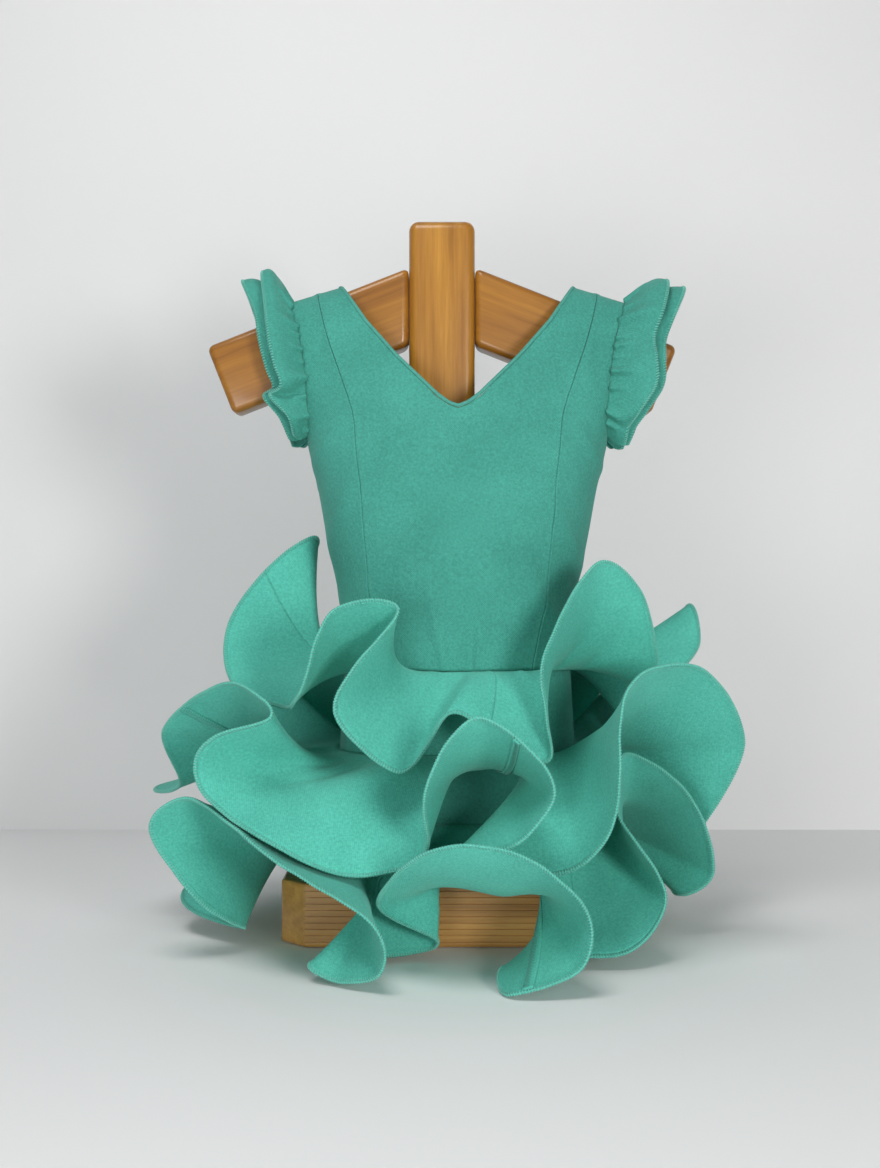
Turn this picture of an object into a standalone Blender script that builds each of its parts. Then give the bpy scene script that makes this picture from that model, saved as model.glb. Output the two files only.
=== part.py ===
# A child's teal-green flamenco dress hanging on its wooden display stand.
# The dress front faces -Y, left and right are those of the viewer, and the origin is the middle of the
# underside of the stand's base. Sizes are in millimetres until they go into a mesh.
import math
from collections import namedtuple

import bmesh
import bpy
import numpy as np

for old in list(bpy.data.objects):
    bpy.data.objects.remove(old, do_unlink=True)

MM = 0.001

# Stand
BASE_WIDTH = 222.0
BASE_DEPTH = 124.0
BASE_HEIGHT = 43.0
BASE_CORNER = 18.0
GROOVE_COUNT = 9
GROOVE_WIDTH = 1.4
POST_WIDTH = 47.0
POST_DEPTH = 30.0
POST_TOP = 506.0
ARM_TALL = 52.0
ARM_THICK = 28.0
ARM_SLOPE = 21.5
ARM_MIDDLE = 445.0
ARM_REACH = 168.0
WOOD_ROUNDING = 5.0
POST_ROUNDING = 7.0
JOINT_GAP = 0.3

# Cloth
CLOTH = 1.2
SEAM_GAP = 0.3
DRESS_MIDDLE = 11.0
HIP = 187.0
SHOULDER_TOP = 460.0
SHOULDER_DROP = 0.30
NECK_REACH = 83.0
ROUNDNESS = 2.4
SHOULDER_ROUNDING = 26.0
SIDE_GAP = 0.25

# Heights of the bodice: half width, depth of the front, depth of the back, half width at the princess
# seams, and half width at the armhole seam.
Section = namedtuple("Section", "up half front back princess armhole")
BODICE = [
    Section(187, 81, 60, 60, 50, 81),
    Section(235, 84, 61, 56, 59, 84),
    Section(280, 93, 63, 56, 64, 93),
    Section(318, 100, 63, 55, 67, 100),
    Section(343, 106, 60, 52, 70, 106),
    Section(363, 111, 55, 47, 72, 105),
    Section(391, 119, 46, 40, 81, 107),
    Section(420, 131, 36, 33, 91, 111),
    Section(446, 150, 26, 26, 98, 119),
    Section(470, 162, 25, 25, 103, 124),
]

# The V of the neck: half width of the opening at each height.
Neck = namedtuple("Neck", "up half")
FRONT_NECK = [Neck(367.5, 0), Neck(370, 7), Neck(376, 15), Neck(391, 30), Neck(405, 44),
              Neck(431, 66), Neck(466, 89)]
BACK_NECK = [Neck(328, 0), Neck(331, 7), Neck(338, 15), Neck(362, 34), Neck(396, 56),
             Neck(430, 72), Neck(466, 89)]

# The three tiers: height of the seam, half width and half depth of the ring it is sewn to, and how far
# the cloth stands straight out from the seam before it turns towards the hem.
Tier = namedtuple("Tier", "up half deep leave")
UPPER = Tier(187, 81.8, 60.8, 28)
MIDDLE = Tier(130, 85, 63, 36)
LOWER = Tier(84, 89, 66, 40)

# One row for each bend of a hem, going round from the left side over the front to the right side:
# the angle on the seam, how far across, back and up the hem lies, and how far the cloth between the
# seam and the hem swells up or, where it is less than nothing, sags.
Bend = namedtuple("Bend", "seam across back up swell")
UPPER_HEM = [
    Bend(-105, -115, 45, 243, 8),
    Bend(-99, -92, 28, 277, 8),
    Bend(-95, -95, 15, 282, 8),
    Bend(-91, -112, 8, 272, 8),
    Bend(-87, -129, 3, 256, 6),
    Bend(-80, -151, -14, 222, 0),
    Bend(-71, -148, -40, 182, 0),
    Bend(-61, -110, -70, 164, 0),
    Bend(-50, -92, -114, 177, 0),
    Bend(-38, -70, -126, 230, 9),
    Bend(-27, -28, -120, 232, 9),
    Bend(-14, -67, -145, 165, 0),
    Bend(-6, -30, -133, 128, -10),
    Bend(6, 5, -112, 163, 0),
    Bend(20, 44, -112, 138, 0),
    Bend(28, 69, -121, 135, 0),
    Bend(34, 66, -119, 165, 0),
    Bend(40, 64, -112, 194, 8),
    Bend(50, 101, -87, 260, 9),
    Bend(60, 134, -64, 244, 8),
    Bend(70, 149, -45, 198, 0),
    Bend(82, 150, -10, 168, 0),
    Bend(94, 189, 18, 202, 0),
    Bend(104, 184, 42, 230, 0),
]
MIDDLE_HEM = [
    Bend(-104, -212, 25, 96, 0),
    Bend(-91, -184, -30, 108, 0),
    Bend(-80, -192, -52, 146, -8),
    Bend(-66, -138, -102, 183, -18),
    Bend(-55, -110, -130, 162, -12),
    Bend(-48, -146, -128, 150, -24),
    Bend(-36, -154, -126, 116, -16),
    Bend(-24, -104, -145, 83, 0),
    Bend(-10, -46, -140, 64, 0),
    Bend(-2, -10, -152, 82, 0),
    Bend(3, -11, -173, 120, -8),
    Bend(11, 22, -178, 167, -22),
    Bend(19, 67, -178, 118, -10),
    Bend(23, 44, -177, 90, 0),
    Bend(28, 4, -163, 80, -5),
    Bend(36, 78, -140, 66, -10),
    Bend(42, 105, -149, 95, 0),
    Bend(51, 116, -133, 178, 10),
    Bend(61, 164, -103, 194, 10),
    Bend(74, 206, -60, 140, 0),
    Bend(88, 178, -28, 70, -10),
]
LOWER_HEM = [
    Bend(-108, -187, -4, 24, 0),
    Bend(-92, -134, -66, 14, -20),
    Bend(-78, -162, -105, 44, -20),
    Bend(-68, -190, -107, 88, -20),
    Bend(-58, -165, -113, 109, -10),
    Bend(-45, -100, -158, 75, -20),
    Bend(-36, -38, -187, 40, -20),
    Bend(-30, -38, -178, 12, -24),
    Bend(-24, -64, -160, 3, -28),
    Bend(-18, -82, -142, 10, -32),
    Bend(-12, -24, -98, 4, -34),
    Bend(-6, -3, -106, 14, -36),
    Bend(1, -41, -142, 48, -38),
    Bend(6, -14, -178, 84, -62),
    Bend(13, 42, -189, 88, -75),
    Bend(20, 87, -184, 50, -42),
    Bend(25, 84, -188, 20, -42),
    Bend(31, 40, -185, 2, -50),
    Bend(37, 36, -142, 6, -56),
    Bend(45, 76, -124, 8, -50),
    Bend(54, 122, -122, 13, -36),
    Bend(63, 145, -108, 44, -30),
    Bend(75, 113, -104, 103, -20),
    Bend(83, 120, -85, 134, -10),
    Bend(94, 168, -62, 104, -10),
    Bend(105, 188, -42, 46, -20),
    Bend(114, 164, -32, 30, -25),
]

# The hidden back of each tier has even flutes: the quarter flutes it runs between, how long the cloth
# hangs from seam to hem, and how far a flute lifts and dips from level.
Flutes = namedtuple("Flutes", "first last reach lift dip swell")
UPPER_BACK = Flutes(0, 15, 98, 34, -45, 0)
MIDDLE_BACK = Flutes(-1, 15, 118, 32, -36, 0)
LOWER_BACK = Flutes(1, 15, 118, 4, -38, -12)
FLUTE_START = 116.0
FLUTE_PITCH = 33.0
FLUTE_SWING = 6.0

# Each tier is sewn end to end from four part-rings: the angles on the seam that each one runs between.
PART_GAP = 0.4
Part = namedtuple("Part", "word start finish")
UPPER_PARTS = [Part("front_left", -87, 15), Part("front_right", 15, 89),
               Part("back_right", 89, 188), Part("back_left", 188, 273)]
MIDDLE_PARTS = [Part("front_left", -75, 14), Part("front_right", 14, 111),
                Part("back_right", 111, 203), Part("back_left", 203, 285)]
LOWER_PARTS = [Part("front", -49, 43), Part("right", 43, 139),
               Part("back", 139, 220), Part("left", 220, 311)]

# Sleeve ruffles: the part of the armhole edge each row is at, from the front end over the shoulder to
# the back end, then how far out, forward and up the hem is from the seam.
Sleeve = namedtuple("Sleeve", "along out forward up")
LEFT_OUTER = [
    Sleeve(0.00, 9, 5, 0),
    Sleeve(0.06, 13, 11, 0),
    Sleeve(0.12, 25, 9, 1),
    Sleeve(0.145, 25, 5, -1),
    Sleeve(0.17, 17, 13, -3),
    Sleeve(0.21, 20, 15, 3),
    Sleeve(0.30, 22, 14, 5),
    Sleeve(0.40, 20, 9, 12),
    Sleeve(0.47, 20, 4, 21),
    Sleeve(0.53, 20, -5, 22),
    Sleeve(0.60, 23, -9, 13),
    Sleeve(0.68, 21, -15, 6),
    Sleeve(0.76, 25, -9, 3),
    Sleeve(0.85, 19, -14, -1),
    Sleeve(1.00, 9, -6, -3),
]
LEFT_UNDER = [
    Sleeve(0.00, 13, 0, -4),
    Sleeve(0.06, 20, 4, -1),
    Sleeve(0.12, 30, 3, -1),
    Sleeve(0.145, 30, 0, -2),
    Sleeve(0.17, 23, 5, -4),
    Sleeve(0.21, 26, 7, 0),
    Sleeve(0.30, 29, 7, 3),
    Sleeve(0.40, 28, 4, 7),
    Sleeve(0.47, 34, 2, 17),
    Sleeve(0.53, 35, -4, 18),
    Sleeve(0.60, 32, -4, 9),
    Sleeve(0.68, 31, -8, 3),
    Sleeve(0.76, 34, -3, 0),
    Sleeve(0.85, 28, -6, -3),
    Sleeve(1.00, 14, -1, -6),
]
RIGHT_OUTER = [
    Sleeve(0.00, 12, 4, -6),
    Sleeve(0.045, 14, 6, -6),
    Sleeve(0.075, 16, 5, -7),
    Sleeve(0.10, 21, 13, -5),
    Sleeve(0.15, 30, 15, -1),
    Sleeve(0.24, 30, 14, 1),
    Sleeve(0.31, 27, 8, 2),
    Sleeve(0.38, 29, 12, 6),
    Sleeve(0.46, 31, 5, 15),
    Sleeve(0.53, 30, -4, 16),
    Sleeve(0.61, 26, -10, 9),
    Sleeve(0.70, 29, -15, 4),
    Sleeve(0.80, 24, -10, 0),
    Sleeve(0.88, 20, -14, -2),
    Sleeve(1.00, 10, -6, -4),
]
RIGHT_UNDER = [
    Sleeve(0.00, 15, 0, -8),
    Sleeve(0.045, 19, 1, -8),
    Sleeve(0.075, 22, 0, -8),
    Sleeve(0.10, 27, 6, -6),
    Sleeve(0.15, 36, 8, -2),
    Sleeve(0.24, 37, 8, 1),
    Sleeve(0.31, 36, 2, 2),
    Sleeve(0.38, 38, 6, 5),
    Sleeve(0.46, 43, 2, 13),
    Sleeve(0.53, 42, -3, 13),
    Sleeve(0.61, 36, -4, 6),
    Sleeve(0.70, 38, -8, 2),
    Sleeve(0.80, 32, -4, -3),
    Sleeve(0.88, 28, -6, -5),
    Sleeve(1.00, 15, -1, -8),
]
SLEEVE_FOOT = 352.0
SLEEVE_BELLY = 3.0
UNDER_TUCK = 2.2
ARMHOLE_MIDDLE = 400.0
BINDING = 1.3
BINDING_OFF = 2.4

# Sizes of the mesh grids
TIER_COLUMNS = 128
TIER_ROWS = 4
SLEEVE_COLUMNS = 44
SLEEVE_ROWS = 2
CENTRE_COLUMNS = 16
SIDE_COLUMNS = 4
BACK_COLUMNS = 10
PANEL_ROWS = 12
STRAIGHT_SHARE = 8 / 12
TUBE_COLUMNS = 32


def smooth(rows, at):
    """A row's other columns where its first column has the value asked, on a smooth curve."""
    table = np.array(rows, dtype=float)
    keys = table[:, 0]
    span = np.diff(keys)
    slope = np.diff(table[:, 1:], axis=0) / span[:, None]
    tangent = np.zeros_like(table[:, 1:])
    tangent[0] = slope[0]
    tangent[-1] = slope[-1]
    before = span[:-1, None]
    after = span[1:, None]
    tangent[1:-1] = (slope[:-1] * after + slope[1:] * before) / (before + after)
    place = float(min(max(at, keys[0]), keys[-1]))
    i = int(min(max(np.searchsorted(keys, place) - 1, 0), len(span) - 1))
    t = (place - keys[i]) / span[i]
    h = span[i]
    return ((2 * t ** 3 - 3 * t ** 2 + 1) * table[i, 1:]
            + (t ** 3 - 2 * t ** 2 + t) * h * tangent[i]
            + (-2 * t ** 3 + 3 * t ** 2) * table[i + 1, 1:]
            + (t ** 3 - t ** 2) * h * tangent[i + 1])


def section(up):
    return Section(up, *smooth(BODICE, up))


# Collections and materials
dress_set = bpy.data.collections.new("flamenco_dress_on_stand")
bpy.context.scene.collection.children.link(dress_set)
cutter_set = bpy.data.collections.new("cutters")
bpy.context.scene.collection.children.link(cutter_set)


def make_material(name, colour, roughness):
    material = bpy.data.materials.new(name)
    material.use_nodes = True
    shader = material.node_tree.nodes["Principled BSDF"]
    shader.inputs["Base Color"].default_value = (*colour, 1.0)
    shader.inputs["Roughness"].default_value = roughness
    shader.inputs["Metallic"].default_value = 0.0
    return material


TEAL = (0.095, 0.400, 0.320)
TEAL_DARK = (0.070, 0.320, 0.260)
PINE = (0.468, 0.226, 0.044)
PINE_DARK = (0.301, 0.122, 0.017)


def add_node(name, mesh, colour, roughness, home=dress_set):
    thing = bpy.data.objects.new(name, mesh)
    home.objects.link(thing)
    thing.data.materials.append(make_material(name + "_look", colour, roughness))
    return thing


def finish_mesh(name, bm, join=0.0):
    if join:
        bmesh.ops.remove_doubles(bm, verts=bm.verts, dist=join * MM)
    bm.normal_update()
    bmesh.ops.recalc_face_normals(bm, faces=bm.faces)
    mesh = bpy.data.meshes.new(name)
    bm.to_mesh(mesh)
    bm.free()
    for face in mesh.polygons:
        face.use_smooth = True
    return mesh


def cloth_sheet(name, columns, rows, place, colour=TEAL, closed=False):
    """A grid whose points are put where place(across, along) says, both from 0 to 1."""
    bm = bmesh.new()
    bmesh.ops.create_grid(bm, x_segments=columns, y_segments=rows, size=0.5)
    for point in bm.verts:
        spot = place(point.co.x + 0.5, point.co.y + 0.5)
        point.co = (spot[0] * MM, spot[1] * MM, spot[2] * MM)
    mesh = finish_mesh(name, bm, join=0.02 if closed else 0.0)
    sheet = add_node(name, mesh, colour, 0.85)
    thick = sheet.modifiers.new("cloth", "SOLIDIFY")
    thick.thickness = CLOTH * MM
    thick.offset = 0.0
    thick.use_even_offset = False
    return sheet


# Stand: a block with a grooved front and cut front corners, a post, and two sloping arms.
def block(name, wide, deep, tall, rounding, colour, segments=3):
    bm = bmesh.new()
    bmesh.ops.create_cube(bm, size=1.0)
    bmesh.ops.scale(bm, vec=(wide * MM, deep * MM, tall * MM), verts=bm.verts)
    mesh = finish_mesh(name, bm)
    wood = add_node(name, mesh, colour, 0.42)
    bevel = wood.modifiers.new("rounding", "BEVEL")
    bevel.width = rounding * MM
    bevel.segments = segments
    bevel.limit_method = "ANGLE"
    return wood


bm = bmesh.new()
bmesh.ops.create_cube(bm, size=1.0)
bmesh.ops.scale(bm, vec=(BASE_WIDTH * MM, BASE_DEPTH * MM, BASE_HEIGHT * MM), verts=bm.verts)
bmesh.ops.translate(bm, vec=(0, 0, BASE_HEIGHT / 2 * MM), verts=bm.verts)
front_corners = [edge for edge in bm.edges
                 if all(point.co.y < 0 for point in edge.verts)
                 and abs(edge.verts[0].co.x - edge.verts[1].co.x) < 1e-6
                 and abs(edge.verts[0].co.z - edge.verts[1].co.z) > 1e-6]
bmesh.ops.bevel(bm, geom=front_corners, offset=BASE_CORNER * MM, segments=1, affect="EDGES")
base = add_node("stand_base", finish_mesh("stand_base", bm), PINE_DARK, 0.5)
edge_round = base.modifiers.new("rounding", "BEVEL")
edge_round.width = 2.0 * MM
edge_round.segments = 2
edge_round.limit_method = "ANGLE"
groove_pitch = BASE_HEIGHT / (GROOVE_COUNT + 1)
bm = bmesh.new()
for i in range(GROOVE_COUNT):
    made = bmesh.ops.create_cube(bm, size=1.0)["verts"]
    bmesh.ops.scale(bm, vec=(BASE_WIDTH * 2 * MM, GROOVE_WIDTH * 2 * MM, GROOVE_WIDTH * MM), verts=made)
    bmesh.ops.translate(bm, vec=(0, -BASE_DEPTH / 2 * MM, groove_pitch * (i + 1) * MM), verts=made)
groove_mesh = finish_mesh("groove_cutter", bm)
grooves = add_node("groove_cutter", groove_mesh, PINE_DARK, 0.5, cutter_set)
grooves.hide_render = True
grooves.display_type = "WIRE"
cut = base.modifiers.new("grooves", "BOOLEAN")
cut.operation = "DIFFERENCE"
cut.solver = "EXACT"
cut.object = grooves

post_foot = BASE_HEIGHT + JOINT_GAP
post = block("stand_post", POST_WIDTH, POST_DEPTH, POST_TOP - post_foot, POST_ROUNDING, PINE)
for point in post.data.vertices:
    point.co.z += (POST_TOP + post_foot) / 2 * MM

slope = math.radians(ARM_SLOPE)
ARM_FAR_TOP = ARM_REACH - ARM_TALL * math.sin(slope)
for side, word in ((-1, "left"), (1, "right")):
    bm = bmesh.new()
    bmesh.ops.create_cube(bm, size=1.0)
    for point in bm.verts:
        high = 1 if point.co.z > 0 else -1
        front = 1 if point.co.y > 0 else -1
        inner = POST_WIDTH / 2 + JOINT_GAP
        half_tall = ARM_TALL / 2 / math.cos(slope)
        if point.co.x < 0:
            across = inner
            up = ARM_MIDDLE + high * half_tall
        else:
            along = (ARM_REACH + ARM_FAR_TOP) / 2 - inner
            across = inner + along + high * ARM_TALL / 2 * math.sin(slope)
            middle_up = ARM_MIDDLE - along * math.tan(slope)
            up = middle_up + high * ARM_TALL / 2 * math.cos(slope)
        point.co = (side * across * MM, front * ARM_THICK / 2 * MM, up * MM)
    name = "stand_arm_" + word
    arm = add_node(name, finish_mesh(name, bm), PINE, 0.42)
    rounding = arm.modifiers.new("rounding", "BEVEL")
    rounding.width = WOOD_ROUNDING * MM
    rounding.segments = 3
    rounding.limit_method = "ANGLE"


# Bodice: a rounded tube cut into a front middle, two front sides and two backs.
def shoulder_up(half):
    return SHOULDER_TOP - SHOULDER_DROP * max(half - NECK_REACH, 0.0)


def neck_half(rows, up):
    if up <= rows[0].up:
        return 0.0
    return float(np.interp(up, [row.up for row in rows], [row.half for row in rows]))


def top_of(share, edge_of, neck):
    """Height at which a line of the bodice meets the neck or the shoulder seam."""
    low = HIP
    high = SHOULDER_TOP
    for _ in range(40):
        middle = (low + high) / 2
        half = abs(share) * edge_of(middle)
        inside = middle <= shoulder_up(half) and half >= neck_half(neck, middle)
        if inside:
            low = middle
        else:
            high = middle
    return low


def body_point(half, up, front, middle=DRESS_MIDDLE):
    """A point of the bodice at a distance from its middle line and a height."""
    here = section(up)
    depth = here.front if front else here.back
    lift = shoulder_up(abs(half)) - up
    close = min(max(lift / SHOULDER_ROUNDING, 0.0), 1.0)
    depth = depth * math.sqrt(1.0 - (1.0 - close) ** 2)
    share = min(abs(half) / here.half, 1.0)
    fall = (1.0 - share ** ROUNDNESS) ** (1.0 / ROUNDNESS)
    back = max(depth * fall, SIDE_GAP)
    return (middle + half, -back if front else back, up)


def princess(up):
    return section(up).princess


def armhole(up):
    return section(up).armhole


def spread(across, neck, edge, low_end, round_end):
    """Where a column lies: even steps along the V, closer ones round the shoulder, then out to the edge."""
    turn = SHOULDER_TOP - SHOULDER_ROUNDING
    if across < low_end:
        return neck_half(neck, turn) / edge(turn) * across / low_end
    if across < round_end:
        angle = (across - low_end) / (round_end - low_end) * math.pi / 2
        up = turn + SHOULDER_ROUNDING * math.sin(angle)
        return neck_half(neck, up) / edge(up)
    corner = neck_half(neck, SHOULDER_TOP) / edge(SHOULDER_TOP)
    return corner + (1.0 - corner) * math.sin((across - round_end) / (1.0 - round_end) * math.pi / 2)


def rise(share, top):
    """Height of a row: even steps up to the shoulder's rounding, then closer ones round it."""
    start = HIP + SEAM_GAP + CLOTH / 2
    turn = top - SHOULDER_ROUNDING
    if share <= STRAIGHT_SHARE:
        return start + share / STRAIGHT_SHARE * (turn - start)
    angle = (share - STRAIGHT_SHARE) / (1.0 - STRAIGHT_SHARE) * math.pi / 2
    return turn + SHOULDER_ROUNDING * math.sin(angle)


def front_centre(across, along):
    side = 1 if across > 0.5 else -1
    share = side * spread(abs(across * 2 - 1), FRONT_NECK, princess, 0.5, 0.875)
    top = top_of(share, princess, FRONT_NECK)
    up = rise(along, top)
    half = share * (princess(up) - SEAM_GAP / 2)
    return body_point(half, up, True)


def front_side(side):
    def place(across, along):
        share = math.sin(across * math.pi / 2)
        edge = (lambda up: princess(up) + share * (armhole(up) - princess(up)))
        top = top_of(1.0, edge, FRONT_NECK)
        up = rise(along, top)
        inner = princess(up) + SEAM_GAP / 2
        half = inner + share * (armhole(up) - inner)
        return body_point(side * half, up, True)
    return place


def back_side(side):
    def place(across, along):
        edge = armhole
        share = spread(across, BACK_NECK, edge, 0.4, 0.7)
        top = top_of(share, edge, BACK_NECK)
        up = rise(along, top)
        inner = SEAM_GAP / 2
        half = inner + share * (armhole(up) - inner)
        return body_point(side * half, up, False)
    return place


cloth_sheet("bodice_front_centre", CENTRE_COLUMNS, PANEL_ROWS, front_centre)
cloth_sheet("bodice_front_left", SIDE_COLUMNS, PANEL_ROWS, front_side(-1))
cloth_sheet("bodice_front_right", SIDE_COLUMNS, PANEL_ROWS, front_side(1))
cloth_sheet("bodice_back_left", BACK_COLUMNS, PANEL_ROWS, back_side(-1), TEAL_DARK)
cloth_sheet("bodice_back_right", BACK_COLUMNS, PANEL_ROWS, back_side(1), TEAL_DARK)


# Skirt: a plain tube that carries the tiers, and three fluted tiers.
def ring(turn):
    """A point of the rounded ring that the bodice and the skirt share, as shares of its half sizes."""
    size = (abs(math.sin(turn)) ** ROUNDNESS + abs(math.cos(turn)) ** ROUNDNESS) ** (1 / ROUNDNESS)
    return math.sin(turn) / size, math.cos(turn) / size


def skirt_tube(across, along):
    side, toward = ring(across * 2 * math.pi)
    drop = 1.0 - along
    up = UPPER.up + 0.2 - drop * (UPPER.up + 6.2 - LOWER.up)
    levels = [LOWER.up, MIDDLE.up, UPPER.up]
    inside = CLOTH / 2 + SEAM_GAP + 0.4
    half = float(np.interp(up, levels, [LOWER.half, MIDDLE.half, UPPER.half])) - inside
    deep = float(np.interp(up, levels, [LOWER.deep, MIDDLE.deep, UPPER.deep])) - inside
    return (DRESS_MIDDLE + half * side, -deep * toward, up)


cloth_sheet("skirt_base", TUBE_COLUMNS, 3, skirt_tube, TEAL_DARK, closed=True)


def seam_point(tier, angle):
    across, toward = ring(math.radians(angle))
    return np.array([DRESS_MIDDLE + tier.half * across, -tier.deep * toward, tier.up])


def hem_rows(tier, front, back):
    """The bends of the front with those of the back worked out, and the first ones again to close."""
    rows = [tuple(row) for row in front]
    for quarter in range(back.first, back.last + 1):
        angle = FLUTE_START + FLUTE_PITCH * quarter / 4
        phase = quarter / 4 * 2 * math.pi
        lean = math.radians(angle + FLUTE_SWING * math.sin(phase))
        climb = math.radians((back.lift + back.dip) / 2 - (back.lift - back.dip) / 2 * math.cos(phase))
        out = back.reach * math.cos(climb)
        hem = seam_point(tier, angle) + np.array(
            [out * math.sin(lean), -out * math.cos(lean), back.reach * math.sin(climb)])
        rows.append((angle, *hem, back.swell))
    before = [(row[0] - 360, *row[1:]) for row in rows[-3:]]
    after = [(row[0] + 360, *row[1:]) for row in rows[:3]]
    return before + rows + after


def tier_place(tier, front, back):
    """Places the points of a tier so that its columns are spread evenly along the hem."""
    rows = hem_rows(tier, front, back)
    first = rows[3][0]
    angles = np.linspace(first, first + 360, 1441)
    hems = np.array([smooth(rows, angle)[:3] for angle in angles])
    steps = np.linalg.norm(np.diff(hems, axis=0), axis=1)
    walk = np.concatenate([[0.0], np.cumsum(steps)])
    walk = walk / walk[-1] + np.linspace(0.0, 0.35, len(walk))
    walk = walk / walk[-1]

    def column_at(angle):
        """The column nearest to an angle, counted on round the ring past the first."""
        laps = math.floor((angle - first) / 360)
        return round((np.interp(angle - laps * 360, angles, walk) + laps) * TIER_COLUMNS)

    def place(across, along):
        angle = float(np.interp(across % 1.0, walk, angles))
        turn = math.radians(angle)
        start = seam_point(tier, angle)
        bend = smooth(rows, angle)
        hem = np.array([bend[0], bend[1], max(bend[2], CLOTH)])
        knee = start + np.array([tier.leave * math.sin(turn), -tier.leave * math.cos(turn), bend[3]])
        drop = 1.0 - along
        return along ** 2 * start + 2 * along * drop * knee + drop ** 2 * hem
    return place, column_at


def part_place(place, low, high):
    """Places the points of one part-ring, its two ends drawn back by half the gap of the join."""
    def part_spot(across, along):
        column = low + across * (high - low)
        spot = place(column / TIER_COLUMNS, along)
        inward = {0.0: 0.02, 1.0: -0.02}.get(across)
        if inward is None:
            return spot
        away = place((column + inward) / TIER_COLUMNS, along) - spot
        return spot + away / np.linalg.norm(away) * PART_GAP / 2
    return part_spot


for name, tier, front, back, parts in (("upper", UPPER, UPPER_HEM, UPPER_BACK, UPPER_PARTS),
                                       ("middle", MIDDLE, MIDDLE_HEM, MIDDLE_BACK, MIDDLE_PARTS),
                                       ("lower", LOWER, LOWER_HEM, LOWER_BACK, LOWER_PARTS)):
    place, column_at = tier_place(tier, front, back)
    for part in parts:
        low = column_at(part.start)
        high = column_at(part.finish)
        cloth_sheet("ruffle_" + name + "_" + part.word, high - low, TIER_ROWS, part_place(place, low, high))


# Sleeves: two gathered ruffles on each side, sewn round the upper part of the armhole.
def armhole_line(side):
    """The armhole edge from its front end over the shoulder to its back end."""
    front = [armhole_point(step / 24, side, True) for step in range(25)]
    back = [armhole_point(step / 24, side, False) for step in range(25)]
    return np.array(front + back[::-1])


def armhole_point(share, side, front):
    top = top_of(1.0, armhole, FRONT_NECK)
    turn = top - SHOULDER_ROUNDING
    if share <= 0.6:
        up = SLEEVE_FOOT + share / 0.6 * (turn - SLEEVE_FOOT)
    else:
        up = turn + SHOULDER_ROUNDING * math.sin((share - 0.6) / 0.4 * math.pi / 2)
    return body_point(side * armhole(up), up, front)


def sleeve_place(side, rows, tuck):
    line = armhole_line(side)
    steps = np.linalg.norm(np.diff(line, axis=0), axis=1)
    walk = np.concatenate([[0.0], np.cumsum(steps)])
    walk = walk / walk[-1]
    heart = np.array([0.0, ARMHOLE_MIDDLE])

    def place(across, along):
        edge = np.array([np.interp(across, walk, line[:, i]) for i in range(3)])
        away = edge[1:] - heart
        away = away / np.linalg.norm(away)
        start = edge + np.array([side * (CLOTH / 2 + SEAM_GAP + 1.0), -tuck * away[0], -tuck * away[1]])
        out, forward, up = smooth(rows, across)
        drop = 1.0 - along
        spot = start + drop * np.array([side * out, -forward, up])
        belly = SLEEVE_BELLY * math.sin(math.pi * drop)
        return spot + belly * np.array([0.0, away[0], away[1]])
    return place


for word, side, outer, under in (("left", -1, LEFT_OUTER, LEFT_UNDER),
                                 ("right", 1, RIGHT_OUTER, RIGHT_UNDER)):
    cloth_sheet("sleeve_" + word + "_outer", SLEEVE_COLUMNS, SLEEVE_ROWS, sleeve_place(side, outer, 0.0))
    cloth_sheet("sleeve_" + word + "_under", SLEEVE_COLUMNS, SLEEVE_ROWS,
                sleeve_place(side, under, UNDER_TUCK))


# Neck binding: a thin rolled strip round the whole neck.
def neck_line():
    """The binding's middle line: down the front V, up again, over the shoulder and round the back V."""
    line = []
    for side, rows, front in ((1, FRONT_NECK, True), (-1, FRONT_NECK, True),
                              (-1, BACK_NECK, False), (1, BACK_NECK, False)):
        part = []
        tip = rows[0].up
        for step in range(17):
            share = step / 16
            up = tip + (shoulder_up(NECK_REACH) + BINDING - 0.6 - tip) * math.sin(share * math.pi / 2)
            half = neck_half(rows, up)
            slope = (neck_half(rows, up + 1) - neck_half(rows, up - 1)) / 2
            bend = math.hypot(1.0, slope)
            inward = min(BINDING_OFF / bend, half)
            lift = BINDING_OFF * slope / bend if half > 0 else BINDING_OFF
            part.append(neck_point(side * (half - inward), up + lift, front))
        if side * (1 if front else -1) > 0:
            part = part[::-1]
        line += part if not line else part[1:]
    return np.array(line)


def neck_point(half, up, front):
    here = section(min(up, SHOULDER_TOP))
    depth = here.front if front else here.back
    close = min(max((SHOULDER_TOP - up) / SHOULDER_ROUNDING, 0.0), 1.0)
    depth = depth * math.sqrt(1.0 - (1.0 - close) ** 2)
    share = min(abs(half) / here.half, 1.0)
    fall = (1.0 - share ** ROUNDNESS) ** (1.0 / ROUNDNESS)
    back = depth * fall + BINDING * math.sqrt(1.0 - (1.0 - close) ** 2)
    return (DRESS_MIDDLE + half, -back if front else back, up)


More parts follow.
